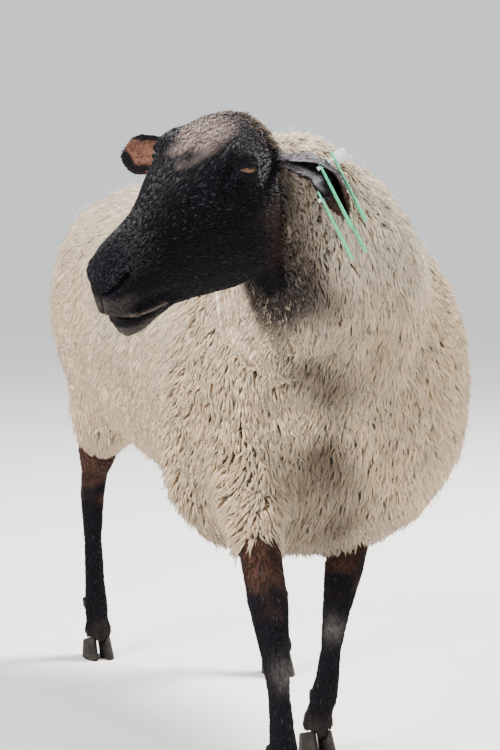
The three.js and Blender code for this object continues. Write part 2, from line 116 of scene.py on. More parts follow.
# Colours are linear.
CREAM = np.array([0.94, 0.8, 0.6])
# painted shade: the roots and the skin under the wool are a little darker than the tips
CREAM_ROOT = np.array([0.88, 0.74, 0.56])
# painted light: a whiter wool for the top of the body, where the light falls
LIT_TOP_WOOL = np.array([0.97, 0.91, 0.81])
# colour of dirt, also used for painted shade in the chest's creases and to darken the wool towards the
# bottom
DIRT_AND_SHADE = np.array([0.15, 0.088, 0.042])
BROWN_WOOL = np.array([0.29, 0.185, 0.125])
DARK_WOOL = np.array([0.09, 0.054, 0.037])
BLACK = np.array([0.006, 0.0052, 0.0072])
# pale bluish grey: a few real grey hairs, and painted sheen on the black face
GREY_HAIR_AND_SHEEN = np.array([0.42, 0.44, 0.52])
FOREHEAD_BROWN = np.array([0.3, 0.23, 0.21])
POLL_GREY = np.array([0.1, 0.078, 0.075])
CHEEK_BROWN = np.array([0.04, 0.02, 0.016])
LIP_PALE = np.array([0.24, 0.19, 0.15])
CHIN_GREY = np.array([0.1, 0.085, 0.075])
# grey of the near ear's upturned face: its hair, with painted sheen
EAR_GREY_AND_SHEEN = np.array([0.3, 0.28, 0.31])
EAR_BROWN = np.array([0.16, 0.075, 0.05])
LEG_BROWN = np.array([0.07, 0.034, 0.023])
# grey of the knees: worn hair, and a painted highlight where they catch the light
KNEE_GREY_AND_HIGHLIGHT = np.array([0.17, 0.15, 0.14])
DUST = np.array([0.12, 0.095, 0.07])
# painted shade: the iris and the white are their own amber and brown, made darker for the shade of the
# heavy brow
IRIS_AMBER = np.array([0.09, 0.036, 0.01])
IRIS_BROWN = np.array([0.05, 0.02, 0.008])
IRIS_RIM = np.array([0.02, 0.01, 0.006])
PUPIL_BLACK = np.array([0.003, 0.003, 0.004])
SCLERA = np.array([0.03, 0.018, 0.014])
HORN = ((0.006, 0.005, 0.0045), (0.02, 0.017, 0.015))
HORN_DUST = (0.1, 0.08, 0.06)
TAG_GREEN, TAG_GREEN_WORN = (0.02, 0.46, 0.2), (0.1, 0.6, 0.32)
TAG_GREY, TAG_GREY_WORN = (0.42, 0.46, 0.5), (0.58, 0.62, 0.65)


# ---- Small helpers
def length(v):
    """Lengths of vectors, which lie along the last axis."""
    return np.linalg.norm(v, axis=-1)


def unit(v):
    """Vectors brought to length one."""
    return v / np.maximum(length(v)[..., None], 1e-12)


def step(x, low, high):
    """0 below low and 1 above high, with a smooth rise between them. low may be above high."""
    t = np.clip((x - low) / (high - low), 0, 1)
    return t * t * (3 - 2 * t)


def mix(a, b, share):
    """Blends rows of a and b by a share for each row."""
    return a + (b - a) * np.asarray(share)[..., None]


def turned(v, axis, angle):
    """v turned about a unit axis by the right-hand rule."""
    along = axis * (axis @ v) * (1 - math.cos(angle))
    return v * math.cos(angle) + np.cross(axis, v) * math.sin(angle) + along


def waves(points, size, seed):
    """Smooth noise of about -1 to 1 with bumps of about this size: a sum of sines in random directions."""
    draw = np.random.default_rng(seed)
    total = np.zeros(len(points))
    for _ in range(7):
        way = unit(draw.normal(size=3)) * (2 * math.pi / (size * draw.uniform(1.4, 2.8)))
        total += np.sin(points @ way + draw.uniform(0, 2 * math.pi))
    return total / 3


# ---- Head frame
HEAD_FORWARD = np.array([
    -math.sin(HEAD_TURN) * math.cos(HEAD_DIP),
    -math.cos(HEAD_TURN) * math.cos(HEAD_DIP),
    -math.sin(HEAD_DIP),
])
LEVEL_LEFT = np.array([math.cos(HEAD_TURN), -math.sin(HEAD_TURN), 0.0])
HEAD_LEFT = turned(LEVEL_LEFT, HEAD_FORWARD, -HEAD_TILT)
HEAD_UP = np.cross(HEAD_FORWARD, HEAD_LEFT)
HEAD_AXES = np.array([HEAD_FORWARD, HEAD_LEFT, HEAD_UP])


def in_head(points):
    """Places along the head from the back of the skull, to its left and up from its axis, in mm."""
    return (points - HEAD_AT) @ HEAD_AXES.T / MM


def from_head(places):
    """The opposite of in_head."""
    return HEAD_AT + np.asarray(places, float) @ HEAD_AXES * MM


# ---- Meshes
def object_from(name, corners, faces):
    """A new object from an array of corners and an array of faces, which all have as many corners."""
    mesh = bpy.data.meshes.new(name)
    count, sides = faces.shape
    mesh.vertices.add(len(corners))
    mesh.vertices.foreach_set("co", np.ascontiguousarray(corners, np.float32).ravel())
    mesh.loops.add(count * sides)
    mesh.loops.foreach_set("vertex_index", np.ascontiguousarray(faces, np.int32).ravel())
    mesh.polygons.add(count)
    mesh.polygons.foreach_set("loop_start", np.arange(0, count * sides, sides, dtype=np.int32))
    mesh.polygons.foreach_set("use_smooth", np.full(count, True))
    mesh.update(calc_edges=True)
    made = bpy.data.objects.new(name, mesh)
    bpy.context.scene.collection.objects.link(made)
    return made


def paint(thing, colours):
    """Keeps a linear colour for each corner of a mesh, which its material reads as `tint`."""
    rgba = np.concatenate([colours, np.ones((len(colours), 1))], 1)
    layer = thing.data.color_attributes.new("tint", "FLOAT_COLOR", "POINT")
    layer.data.foreach_set("color", rgba.astype(np.float32).ravel())


def keep_vectors(thing, name, vectors):
    """Keeps a vector for each corner of a mesh, which its material reads by name."""
    layer = thing.data.attributes.new(name, "FLOAT_VECTOR", "POINT")
    layer.data.foreach_set("vector", vectors.astype(np.float32).ravel())


def values_of(items, key, width, kind):
    """One value of each of a mesh's items, as an array with a row for each item."""
    flat = np.empty(len(items) * width, kind)
    items.foreach_get(key, flat)
    return flat.reshape(-1, width)


def corners_of(mesh):
    return values_of(mesh.vertices, "co", 3, np.float32).astype(float)


def triangles_of(mesh):
    mesh.calc_loop_triangles()
    return values_of(mesh.loop_triangles, "vertices", 3, np.int32)


def joined(parts):
    """One pair of corners and faces from many."""
    corners, faces, count = [], [], 0
    for part_corners, part_faces in parts:
        corners.append(part_corners)
        faces.append(part_faces + count)
        count += len(part_corners)
    return np.concatenate(corners), np.concatenate(faces)


def node_shape(name):
    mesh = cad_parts[name].data
    return corners_of(mesh), triangles_of(mesh)


def shapes(names):
    return [node_shape(name) for name in names]


def apply_modifiers(thing):
    """Replaces an object's mesh by what its modifiers make of it."""
    graph = bpy.context.evaluated_depsgraph_get()
    done = bpy.data.meshes.new_from_object(thing.evaluated_get(graph))
    thing.modifiers.clear()
    thing.data = done


def remeshed(parts, voxel):
    """The outer surface of all the closed parts together, as an even mesh of quads."""
    corners, faces = joined(parts)
    rough = object_from("rough", corners, faces)
    change = rough.modifiers.new("remesh", "REMESH")
    change.mode = "VOXEL"
    change.voxel_size = voxel
    apply_modifiers(rough)
    quads = values_of(rough.data.loops, "vertex_index", 1, np.int32).reshape(-1, 4)
    made = corners_of(rough.data), quads
    bpy.data.objects.remove(rough)
    return made


def in_triangles(quads):
    """Each quad as two triangles, one after the other."""
    return quads[:, [0, 1, 2, 0, 2, 3]].reshape(-1, 3)


def edges_of(faces):
    """Each edge once, as pairs of corner indices."""
    pairs = np.stack([faces, np.roll(faces, -1, 1)], 2).reshape(-1, 2)
    pairs.sort(axis=1)
    keys = np.unique(pairs[:, 0].astype(np.int64) << 32 | pairs[:, 1])
    return np.stack([keys >> 32, keys & 0xFFFFFFFF], 1)


def normals_of(corners, faces):
    """Unit normals at the corners."""
    a, b, c, d = corners[faces[:, 0]], corners[faces[:, 1]], corners[faces[:, 2]], corners[faces[:, -1]]
    face_normals = np.cross(c - a, d - b) if faces.shape[1] == 4 else np.cross(b - a, c - a)
    total = np.zeros_like(corners)
    for column in range(faces.shape[1]):
        for axis in range(3):
            total[:, axis] += np.bincount(faces[:, column], face_normals[:, axis], len(corners))
    return unit(total)


def smoothed(values, edges, rounds, strength=0.5, keep_size=False):
    """Values moved towards their neighbours' mean in rounds. keep_size undoes most of the shrinking."""
    values = values.copy()
    flat = values.reshape(len(values), -1)
    start, end = edges.T
    degree = np.bincount(start, minlength=len(values)) + np.bincount(end, minlength=len(values))
    degree = np.maximum(degree, 1)
    strengths = [strength, -strength * 1.03] if keep_size else [strength]
    for _ in range(rounds):
        for share in strengths:
            for axis in range(flat.shape[1]):
                column = flat[:, axis]
                total = np.bincount(start, column[end], len(column))
                total += np.bincount(end, column[start], len(column))
                flat[:, axis] = column + (total / degree - column) * share
    return values


def tree_from(corners, faces):
    return BVHTree.FromPolygons(corners.tolist(), faces.tolist())


def tree_of(names):
    return tree_from(*joined(shapes(names)))


def distances(points, tree):
    """How far each point is from the surface in a tree."""
    return np.array([tree.find_nearest(point)[3] for point in points.tolist()])


def tube_faces(rows, count):
    """Triangles of a tube of rings of corners, closed by one more corner in the middle of each end."""
    near, far = np.arange(count), np.roll(np.arange(count), -1)
    faces = []
    for start in range(0, (rows - 1) * count, count):
        a, b = near + start, far + start
        faces += [np.stack([a, b, b + count], 1), np.stack([a, b + count, a + count], 1)]
    last = (rows - 1) * count
    faces.append(np.stack([far, near, np.full(count, rows * count)], 1))
    faces.append(np.stack([near + last, far + last, np.full(count, rows * count + 1)], 1))
    return np.concatenate(faces)


def stub(name, reach_up, narrow=0.96):
    """A short bar that carries on from the flat upper end of a node."""
    corners, faces = node_shape(name)
    a, b, c = (corners[faces[:, i]] for i in range(3))
    normals = np.cross(b - a, c - a)
    areas = length(normals)
    normals = unit(normals)
    facing = np.where(normals[:, 2] > 0.5, areas, 0)
    # the flat end is the plane that holds the most area
    levels = (normals * a).sum(1)
    alike = lambda i: (normals @ normals[i] > 0.9999) & (abs(levels - levels[i]) < 0.2 * MM)
    best = max(np.argsort(facing)[-40:], key=lambda i: areas[alike(i)].sum())
    ring = np.unique(corners[faces[alike(best)]].reshape(-1, 3).round(6), axis=0)
    normal = normals[best]
    middle = (ring.min(0) + ring.max(0)) / 2
    side = unit(np.cross(normal, [0.3, 0.5, 0.81]))
    radius = length(ring - middle).max() * narrow
    # the bar follows the end's outline, read off by direction
    count = 20
    angles = np.arange(count) * 2 * math.pi / count
    ways = np.outer(np.cos(angles), side) + np.outer(np.sin(angles), np.cross(normal, side))
    reach = np.array([((ring - middle) @ way).max() for way in ways])
    outline = middle + ways * np.minimum(reach, radius)[:, None] * narrow
    low, high = outline - normal * 3 * MM, outline + normal * reach_up
    ends = np.array([middle - normal * 3 * MM, middle + normal * reach_up])
    return np.concatenate([low, high, ends]), tube_faces(2, count)


# ---- Skin: the depth of the coat over it
head_tree = tree_of(HEAD)
foreleg_tree = tree_of(("foreleg_left_knee", "foreleg_right_knee"))
shank_tree = tree_of(("hindleg_left_shank", "hindleg_right_shank"))
tail_tree = tree_of(("tail",))


def body_depth(points):
    """Depth of the coat on the trunk and neck: it thins out towards the head, the legs and the tail."""
    depth = np.full(len(points), FLEECE_DEPTH)
    for tree, least, reach in (
        (head_tree, NAPE_DEPTH, 60 * MM),
        (foreleg_tree, ARMPIT_DEPTH, 25 * MM),
        (shank_tree, HAIR_DEPTH, 60 * MM),
        (tail_tree, TAIL_DEPTH, 30 * MM),
    ):
        share = step(distances(points, tree), 0, reach)
        depth = np.minimum(depth, least + (FLEECE_DEPTH - least) * share)
    return depth


def sunk(corners, faces, edges, depth, passes):
    """A surface moved inwards by a depth at each corner, in passes with a little smoothing between them."""
    for _ in range(passes):
        corners = corners - normals_of(corners, faces) * (depth / passes)[:, None]
        corners = smoothed(corners, edges, 2)
    return corners


def body_skin():
    """The trunk, neck, tail and thighs, with the head inside the head's own skin."""
    corners, faces = remeshed(shapes((*TRUNK, "tail", *HEAD)), BODY_VOXEL)
    edges = edges_of(faces)
    outer = smoothed(corners, edges, 24, keep_size=True)
    along = in_head(outer)[:, 0]
    under_head = step(along, 35, 75) * (distances(outer, head_tree) < 30 * MM)
    depth = smoothed(body_depth(outer) + under_head * UNDER_HEAD_DEPTH, edges, 4)
    return sunk(outer, faces, edges, depth, 6), in_triangles(faces), depth


def leg_skins():
    """The black lower legs, each running on up into the body."""
    parts = []
    for leg in LEGS:
        first = "knee" if leg.startswith("fore") else "shank"
        parts += shapes(f"{leg}_{piece}" for piece in (first, "cannon", "pastern"))
        parts.append(stub(f"{leg}_{first}", LEG_RUNS_UP))
    corners, faces = remeshed(parts, LEG_VOXEL)
    edges = edges_of(faces)
    outer = smoothed(corners, edges, 8, keep_size=True)
    depth = np.full(len(outer), HAIR_DEPTH)
    return sunk(outer, faces, edges, depth, 2), in_triangles(faces), depth


# ---- Skin of the head
# Places in this section are in millimetres in the head's own frame, as in_head gives them.
NOSTRIL = [(329, 4, -15), (325, 13, -10), (319, 21, -3), (309, 27, 6)]
NOSTRIL_WING = [(326, 9, -2), (320, 19, 6), (310, 25, 15)]
PHILTRUM = [(329, 0, -12), (326, 0, -28), (321, 0, -49)]
MOUTH = [
    (321, 0, -49), (312, 12, -51), (300, 17, -54), (286, 21, -57),
    (272, 24, -60), (258, 24, -63), (244, 22, -65),
]
HEAD_AXIS = np.array([0, -35])
BROW = [(138, 50, 84), (112, 58, 88), (84, 62, 74)]
TEAR_FOLD = [(131, 54, 66), (143, 55, 58), (156, 55, 48)]
CREST = [(120, 66, 38), (160, 58, 30), (200, 48, 24), (235, 40, 16)]
EYE_GAZE = (0.35, 0.85, 0.38)
EYE_HALF_LENGTH = 1.12  # radians from the middle of the opening to its corners
EYE_OPEN_UP, EYE_OPEN_DOWN = 0.08, 0.44  # radians from the middle to the lids' edges
LID = 2.0  # thickness of the lids over the ball


def mirrored(line, side):
    return [(u, v * side, w) for u, v, w in line]


def laid(line, corners, faces):
    """A line followed in short steps along the surface of a mesh."""
    line = np.asarray(line, float)
    before = np.append(0, np.cumsum(length(np.diff(line, axis=0))))
    steps = np.linspace(0, before[-1], 24)
    fine = np.stack([np.interp(steps, before, line[:, axis]) for axis in range(3)], 1)
    close = (abs(corners[:, None] - line).max(2) < 30).any(1)
    tree = tree_from(corners, faces[close[faces].all(1)])
    return np.array([tree.find_nearest(place)[0] for place in fine.tolist()])


def near_line(places, line):
    """Distance of each place from a line of points, and its nearest point's share of the line, 0 to 1."""
    line = np.asarray(line, float)
    lengths = length(np.diff(line, axis=0))
    starts = np.append(0, np.cumsum(lengths))
    best = np.full(len(places), np.inf)
    share = np.zeros(len(places))
    for start, end, long, before in zip(line, line[1:], lengths, starts):
        t = np.clip((places - start) @ (end - start) / long**2, 0, 1)
        gap = length(places - start - t[:, None] * (end - start))
        closer = gap < best
        best = np.where(closer, gap, best)
        share = np.where(closer, (before + t * long) / starts[-1], share)
    return best, share


def pressed(places, ways, line, width, depth):
    """Moves places near a line by a depth at each share of the line's length, fading over a width."""
    gap, share = near_line(places, line)
    depths = np.interp(share, np.linspace(0, 1, len(depth)), depth)
    widths = np.interp(share, np.linspace(0, 1, len(width)), width)
    return places + ways * (depths * np.exp(-((gap / widths) ** 2)))[:, None]


def eye_frame(name):
    """An eye's middle, radius, gaze, way to its front corner and way up, in the head's frame."""
    low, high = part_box(name)
    middle = in_head(np.array([(low + high) / 2]))[0]
    side = 1 if name == "eye_left" else -1
    gaze = unit(np.array([EYE_GAZE[0], EYE_GAZE[1] * side, EYE_GAZE[2]]))
    front = np.array([math.cos(EYE_SLANT), 0, math.sin(EYE_SLANT)])
    front = unit(front - gaze * (front @ gaze))
    up = np.cross(gaze, front)
    return middle, (high - low).x / 2 / MM, gaze, front, up * math.copysign(1, up[2])


def eye_gap(places):
    """Distance of each place from the middle of the nearer eye."""
    return np.min([length(places - eye_frame(name)[0]) for name in EYES], 0)


def lids(places, name):
    """Shapes the skin round an eye into two lids that lie on the ball and part along a slanted opening."""
    middle, radius, gaze, front, up = eye_frame(name)
    off = places - middle
    flat = off - (off @ gaze)[:, None] * gaze
    reach = length(flat)
    near = step(length(off), 36, 22) * step(off @ gaze, -4, 3)
    # the socket stands up round the ball, most of all in the brow above it
    angle = np.arctan2(flat @ up, flat @ front)
    height = 2.6 + 2.6 * np.sin(angle) - 1.4 * np.cos(angle)
    lift = height * np.exp(-(((reach - 15) / 6.5) ** 2)) * near
    off = off + gaze * lift[:, None]
    far = length(off)
    way = off / far[:, None]
    level = np.arctan2(way @ front, way @ gaze)
    rise = np.arctan2(way @ up, np.hypot(way @ gaze, way @ front) * np.sign(way @ gaze))
    bow = np.clip(1 - (level / EYE_HALF_LENGTH) ** 2, 0, 1)
    above = rise - EYE_OPEN_UP * bow**0.7
    below = -EYE_OPEN_DOWN * bow**0.9 - rise
    beyond = np.where(bow > 0, -1, abs(level) - EYE_HALF_LENGTH)
    margin = np.maximum(np.maximum(above, below), beyond) * radius
    rim = np.exp(-(((margin - 0.9) / 0.8) ** 2)) * 0.5
    lid = radius + LID * step(margin, -0.7, 0.5) - 2.2 * step(margin, -0.2, -1.0) + rim
    lid -= 1.2 * np.exp(-(((margin - 5.5) / 1.0) ** 2)) * step(above, 0, 0.1)
    soft = np.logaddexp(far / 1.6, lid / 1.6) * 1.6
    new = lid + (soft - lid) * step(margin, 2, 6)
    share = near * step(far, radius + 18, radius + 10)
    return middle + way * (far + (new - far) * share)[:, None]


def head_details(places, faces, normals):
    """Presses the nostrils, lips, lids and folds into the skin of the head."""
    base = places
    lay = lambda line, side: laid(mirrored(line, side), base, faces)
    for side in (1, -1):
        into = unit(np.array([-0.8, -0.55 * side, 0.12]))
        wing, slit, mouth = lay(NOSTRIL_WING, side), lay(NOSTRIL, side), lay(MOUTH, side)
        places = pressed(places, normals, wing, [4, 5.5, 5.5], [0.8, 2.6, 2.2])
        places = pressed(places, normals, slit + [0, 0, -7], [4, 5], [0.4, 1.0])
        places = pressed(places, into, slit, [2.0, 2.3, 3.0, 3.8], [4, 6, 9, 12])
        places = pressed(places, normals, mouth + [0, 0, 4], [3.4], [0.6, 1.2, 1.2, 1.0, 0.3])
        places = pressed(places, -normals, mouth, [1.7], [3.0, 4.2, 4.4, 4.0, 1.6])
        places = pressed(places, normals, mouth + [-2, 0, -6], [4.5], [0.2, 0.8, 1.2, 0.8, 0])
    places = pressed(places, -normals, laid(PHILTRUM, base, faces), [1.6], [2.2, 3.6, 2.6])
    lip = np.array([1, 0, -0.15])
    places = pressed(places, lip, [(322, -16, -46), (326, 0, -44), (322, 16, -46)], [16], [10, 11, 10])
    for name in EYES:
        side = 1 if name == "eye_left" else -1
        places = pressed(places, normals, lay(BROW, side), [9], [1.0, 3.0, 1.5])
        places = pressed(places, -normals, lay(TEAR_FOLD, side), [5, 4, 4], [4.0, 2.4, 0.2])
        places = pressed(places, normals, lay(CREST, side), [7], [0.3, 1.4, 1.2, 0.2])
        places = lids(places, name)
    return places


def bmesh_from(corners, faces):
    mesh = bmesh.new()
    for corner in corners.tolist():
        mesh.verts.new(corner)
    mesh.verts.ensure_lookup_table()
    for face in faces.tolist():
        mesh.faces.new([mesh.verts[i] for i in face])
    mesh.verts.index_update()
    return mesh


def arrays_of(mesh):
    """Corners and triangles of a bmesh, which is then freed."""
    bmesh.ops.triangulate(mesh, faces=mesh.faces[:])
    mesh.verts.index_update()
    corners = np.array([vertex.co for vertex in mesh.verts])
    faces = np.array([[vertex.index for vertex in face.verts] for face in mesh.faces])
    mesh.free()
    return corners, faces


def cut_off(name, place, way):
    """What is left of a node when a plane cuts off all that lies beyond it, `way` being beyond."""
    mesh = bmesh_from(*node_shape(name))
    bmesh.ops.remove_doubles(mesh, verts=mesh.verts[:], dist=0.01 * MM)
    everything = mesh.verts[:] + mesh.edges[:] + mesh.faces[:]
    bmesh.ops.bisect_plane(mesh, geom=everything, plane_co=place, plane_no=way, clear_outer=True)
    bmesh.ops.holes_fill(mesh, edges=[edge for edge in mesh.edges if edge.is_boundary])
    return arrays_of(mesh)


def refined(corners, faces, places, reach):
    """Halves the edges of the faces within reach of some places, and turns all the faces into triangles."""
    mesh = bmesh_from(corners, faces)
    near = np.zeros(len(corners), bool)
    for place in places:
        near |= ((corners - place) ** 2).sum(1) < reach**2
    chosen = [edge for edge in mesh.edges if near[edge.verts[0].index] and near[edge.verts[1].index]]
    bmesh.ops.subdivide_edges(mesh, edges=chosen, cuts=1, use_grid_fill=True)
    return arrays_of(mesh)


def head_skin():
    """The head, ears and front of the neck, with the details of the face pressed in."""
    parts = shapes((*HEAD, *EARS))
    for name in EYES:
        corners, faces = node_shape(name)
        middle = (corners.min(0) + corners.max(0)) / 2
        parts.append((middle + (corners - middle) * 1.1, faces))
    parts.append(cut_off("neck", from_head([-45, 0, 0]), -HEAD_FORWARD))
    corners, faces = remeshed(parts, HEAD_VOXEL)
    edges = edges_of(faces)
    outer = smoothed(corners, edges, 10, keep_size=True)
    along = in_head(outer)[:, 0]
    depth = HAIR_DEPTH + (NAPE_DEPTH - HAIR_DEPTH) * step(along, 66, 30)
    depth += IN_NECK_DEPTH * step(along, 15, -30)
    depth = smoothed(depth, edges, 6)
    ear = step(distances(outer, tree_of(EARS)), 9 * MM, 3 * MM)
    depth = depth + (EAR_HAIR_DEPTH - depth) * ear
    corners = sunk(outer, faces, edges, depth, 3)
    # the back of the head narrows inside the neck's own skin
    places = in_head(corners)
    narrow = 1 - 0.3 * (step(places[:, 0], 42, -12) * (1 - ear))[:, None]
    places[:, 1:] = HEAD_AXIS + (places[:, 1:] - HEAD_AXIS) * narrow
    corners = from_head(places)
    small = [eye_frame(name)[0] for name in EYES]
    small += [place for line in (NOSTRIL, MOUTH) for side in (1, -1) for place in mirrored(line, side)]
    count = len(corners)
    corners, faces = refined(corners, faces, from_head(small), FINE_WITHIN)
    places = in_head(corners)
    normals = normals_of(corners, faces) @ HEAD_AXES.T
    corners = from_head(head_details(places, faces, normals))
    depth = np.concatenate([depth, np.full(len(corners) - count, HAIR_DEPTH)])
    return corners, faces, depth


def united(first, others, name):
    """One closed mesh from overlapping closed ones."""
    whole = object_from(name, *first)
    for corners, faces in others:
        other = object_from("other", corners, faces)
        change = whole.modifiers.new("join", "BOOLEAN")
        change.operation = "UNION"
        change.solver = "MANIFOLD"
        change.object = other
        apply_modifiers(whole)
        bpy.data.objects.remove(other)
    return whole


# ---- Markings, and painted light and shade
# Places here are in millimetres: on the body in the shared frame, on the head in the head's own frame.
# Each crease line has its width and strength, and so has each patch of dirt. The creases are darkened as
# painted shade in the folds, with dirt in them.
HEAD_MIDDLE = (-150, -460, 760)
# grey knee spots: worn hair with a painted highlight
KNEE_WEAR_AND_HIGHLIGHT = ((96, -252, 184), (-41, -455, 180))
CREASE_LINES = (
    ([(8, -352, 491), (22, -347, 476), (48, -346, 467), (68, -362, 476), (84, -380, 493)], 8, 1.0),
    ([(26, -338, 424), (50, -328, 405), (80, -332, 412)], 8, 0.9),
    ([(93, -401, 575), (130, -368, 535), (173, -332, 498)], 5, 0.6),
)
DIRT_PATCHES = (
    ((30, -345, 545), 30, 0.6),
    ((118, -340, 468), 13, 1.1),
    ((58, -330, 432), 27, 1.15),
    ((40, -335, 500), 32, 0.5),
    ((66, -314, 394), 36, 0.5),
    ((82, -287, 324), 34, 0.6),
)


def creases(spots):
    """Share of each spot that lies in the chest's creases."""
    deep = np.zeros(len(spots))
    for line, size, share in CREASE_LINES:
        deep = np.maximum(deep, share * np.exp(-((near_line(spots, line)[0] / size) ** 2)))
    return deep


def wool_colours(points):
    """Colours of the tips and roots of the wool at places on the body and neck."""
    along, left, up = in_head(points).T
    spots = points / MM
    z = spots[:, 2]
    speckle = waves(points, 0.05, 1)
    broad = waves(points, 0.22, 2)
    tip = np.tile(CREAM, (len(points), 1))
    # painted light: the wool is whiter towards the top of the body
    tip = mix(tip, LIT_TOP_WOOL, step(z + broad * 60, 520, 780) * 0.8)
    root = np.tile(CREAM_ROOT, (len(points), 1))
    # the chest is dirty in a column under the head, and darkest along its creases, which is painted shade
    # in the folds with dirt; the wool is also darker towards the bottom
    chest = np.exp(-(((spots[:, 0] - 62) / 75) ** 2)) * step(spots[:, 1], -200, -320) * step(z, 640, 540)
    dirt_and_shade = 0.02 + 0.3 * chest + 0.06 * broad
    # dirt speckles, and the wool darker towards the bottom
    dirt_and_shade += 0.09 * speckle * (0.4 + chest) + 0.2 * step(z, 390, 290)
    for place, size, share in DIRT_PATCHES:
        gap = length((spots - place) * [1, 0.6, 1.3])
        dirt_and_shade += share * 0.7 * np.exp(-((gap / size) ** 2)) * (1 + 0.5 * speckle)
    # painted shade in the folds of the chest's creases, with dirt
    dirt_and_shade += creases(spots)
    tip = mix(tip, DIRT_AND_SHADE, np.clip(dirt_and_shade, 0, 0.85))
    # brown wool behind the face, which runs furthest down the throat
    near = length((spots - HEAD_MIDDLE) * [1, 1, 0.8])
    beside = step(up, -105, -150) * step(left + 0.5 * (up + 150), -4, -46)
    reach = step(near, 330, 210) * (1 - beside)
    low = step(up, -60, -150)
    brown = step(along + speckle * 9 - 14 * low - 22 * step(up, -20, 40), -16, 42)
    brown *= reach * step(up, -235, -190)
    tip = mix(tip, BROWN_WOOL, brown * 0.85)
    dark = step(along + speckle * 6 + 4 * low, 14, 48) * reach * step(up, -215, -170)
    tip = mix(tip, DARK_WOOL, dark * 0.9)
    tip = mix(tip, CHEEK_BROWN, step(along + speckle * 5 + 10 * low, 36, 56) * reach * 0.8)
    # brown at the tops of the legs
    tip = mix(tip, BROWN_WOOL, step(z + speckle * 8, 305, 270) * 0.4)
    # painted shade deep in the coat: the roots are darker than the tips, most of all under brown and dirty
    # wool
    root = mix(root, DARK_WOOL * 0.6, np.maximum(brown, dark) * 0.8)
    root = mix(root, DIRT_AND_SHADE * 0.5, np.clip(dirt_and_shade - 0.4, 0, 0.6))
    root = mix(root, LEG_BROWN, step(z + speckle * 8, 315, 285))
    return np.clip(tip, 0, 1), np.clip(root, 0, 1)


def on_ear(points):
    """Share of each point that is on an ear."""
    side = abs(in_head(points)[:, 1])
    return step(distances(points, tree_of(EARS)), 8 * MM, 3.5 * MM) * step(side, 60, 72)


def face_colours(points, normals):
    """Colours of the hair of the head and ears, and the share of pale hairs in it: a few real grey hairs,
    and many more on the top of the head, the nose and the temples as painted sheen.
    """
    along, left, up = in_head(points).T
    places = np.stack([along, left, up], 1)
    side = abs(left)
    speckle = waves(points, 0.018, 5)
    broad = waves(points, 0.05, 6)
    tip = np.tile(BLACK, (len(points), 1))
    # brown, worn wool on the forehead between the brows, and grey brown wool on the poll
    patch = ((along - 100 + 4 * speckle) / 52) ** 2 + ((left - 2) / 31) ** 2
    forehead = step(patch + 0.15 * speckle, 1.6, 0.3) * step(up + 0.43 * (along - 107), 70, 95)
    tip = mix(tip, FOREHEAD_BROWN, forehead * 0.9)
    poll = step(along + 5 * speckle, 66, 46) * step(up, 56, 72)
    tip = mix(tip, POLL_GREY, poll)
    # brown cheeks and throat
    cheek = step(along + 8 * broad, 110, 66) * step(up, 15, -10) * step(up, -120, -60)
    tip = mix(tip, CHEEK_BROWN, cheek * 0.8)
    # the lips: a pale edge above the mouth, and grey brown hair below it
    lip = [(u, v, w + 3) for u, v, w in MOUTH]
    edge = np.minimum(near_line(places, lip)[0], near_line(places * [1, -1, 1], lip)[0])
    tip = mix(tip, LIP_PALE, np.exp(-((edge / 2.6) ** 2)) * 0.75)
    chin = step(along, 235, 262) * step(up, -62, -72)
    tip = mix(tip, CHIN_GREY, chin * 0.7)
    muzzle = step(along, 285, 312) * step(up, -14, -24) * step(up, -60, -46)
    tip = mix(tip, CHIN_GREY, muzzle * 0.35)
    # ears: the far one is brown inside, the near one grey where its outer face turns upwards, partly its
    # hair and partly painted sheen, and brown grey at its tip
    ahead, _, skyward = (normals @ HEAD_AXES.T).T
    cup = ((side - 116) / 44) ** 2 + ((up - 29) / 17) ** 2
    inside = step(cup + 0.2 * speckle, 1.1, 0.7) * step(ahead, 0, 0.3) * step(side, 66, 80)
    tip = mix(tip, EAR_BROWN, inside * (left < 0) * 0.9)
    # painted sheen with grey hair where the near ear's outer face turns up
    ear_top_grey_and_sheen = on_ear(points) * step(skyward - 0.5 * ahead, 0.0, 0.5) * (left > 0)
    tip = mix(tip, EAR_GREY_AND_SHEEN, ear_top_grey_and_sheen * (0.75 + 0.2 * speckle))
    tip = mix(tip, EAR_BROWN * 0.6, step(side, 138, 156) * (left > 0) * 0.5)
    # share of pale hairs: a few real grey ones everywhere, and painted sheen on the top of the head, the
    # nose and the temples
    top = step(up, 8, 60) * step(along, 40, 90)
    nose = step(along, 230, 300) * step(up, -14, 20)
    temple = step(up, 40, 70) * step(side, 20, 36) * step(along, 30, 60) * step(along, 170, 120)
    pale_and_sheen = 0.03 + 0.12 * top + 0.6 * nose + 0.12 * temple + 0.05 * speckle * top
    return tip, np.clip(pale_and_sheen, 0, 0.8)


def leg_colours(points):
    """Colours of the hair of the legs: black, with brown tops and grey knees, worn and with a painted
    highlight.
    """
    z = points[:, 2] / MM
    speckle = waves(points, 0.02, 8)
    tip = np.tile(BLACK, (len(points), 1))
    tip = mix(tip, LEG_BROWN, step(z + 24 * speckle, 235, 335) * 0.85)
    for place in KNEE_WEAR_AND_HIGHLIGHT:
        gap = length((points / MM - place) * [1, 0.7, 0.8])
        tip = mix(tip, KNEE_GREY_AND_HIGHLIGHT, np.exp(-((gap / 15) ** 2)) * 0.4)
    tip = mix(tip, DUST, step(z + 10 * speckle, 75, 25) * 0.15)
    return tip, np.full(len(points), 0.03)


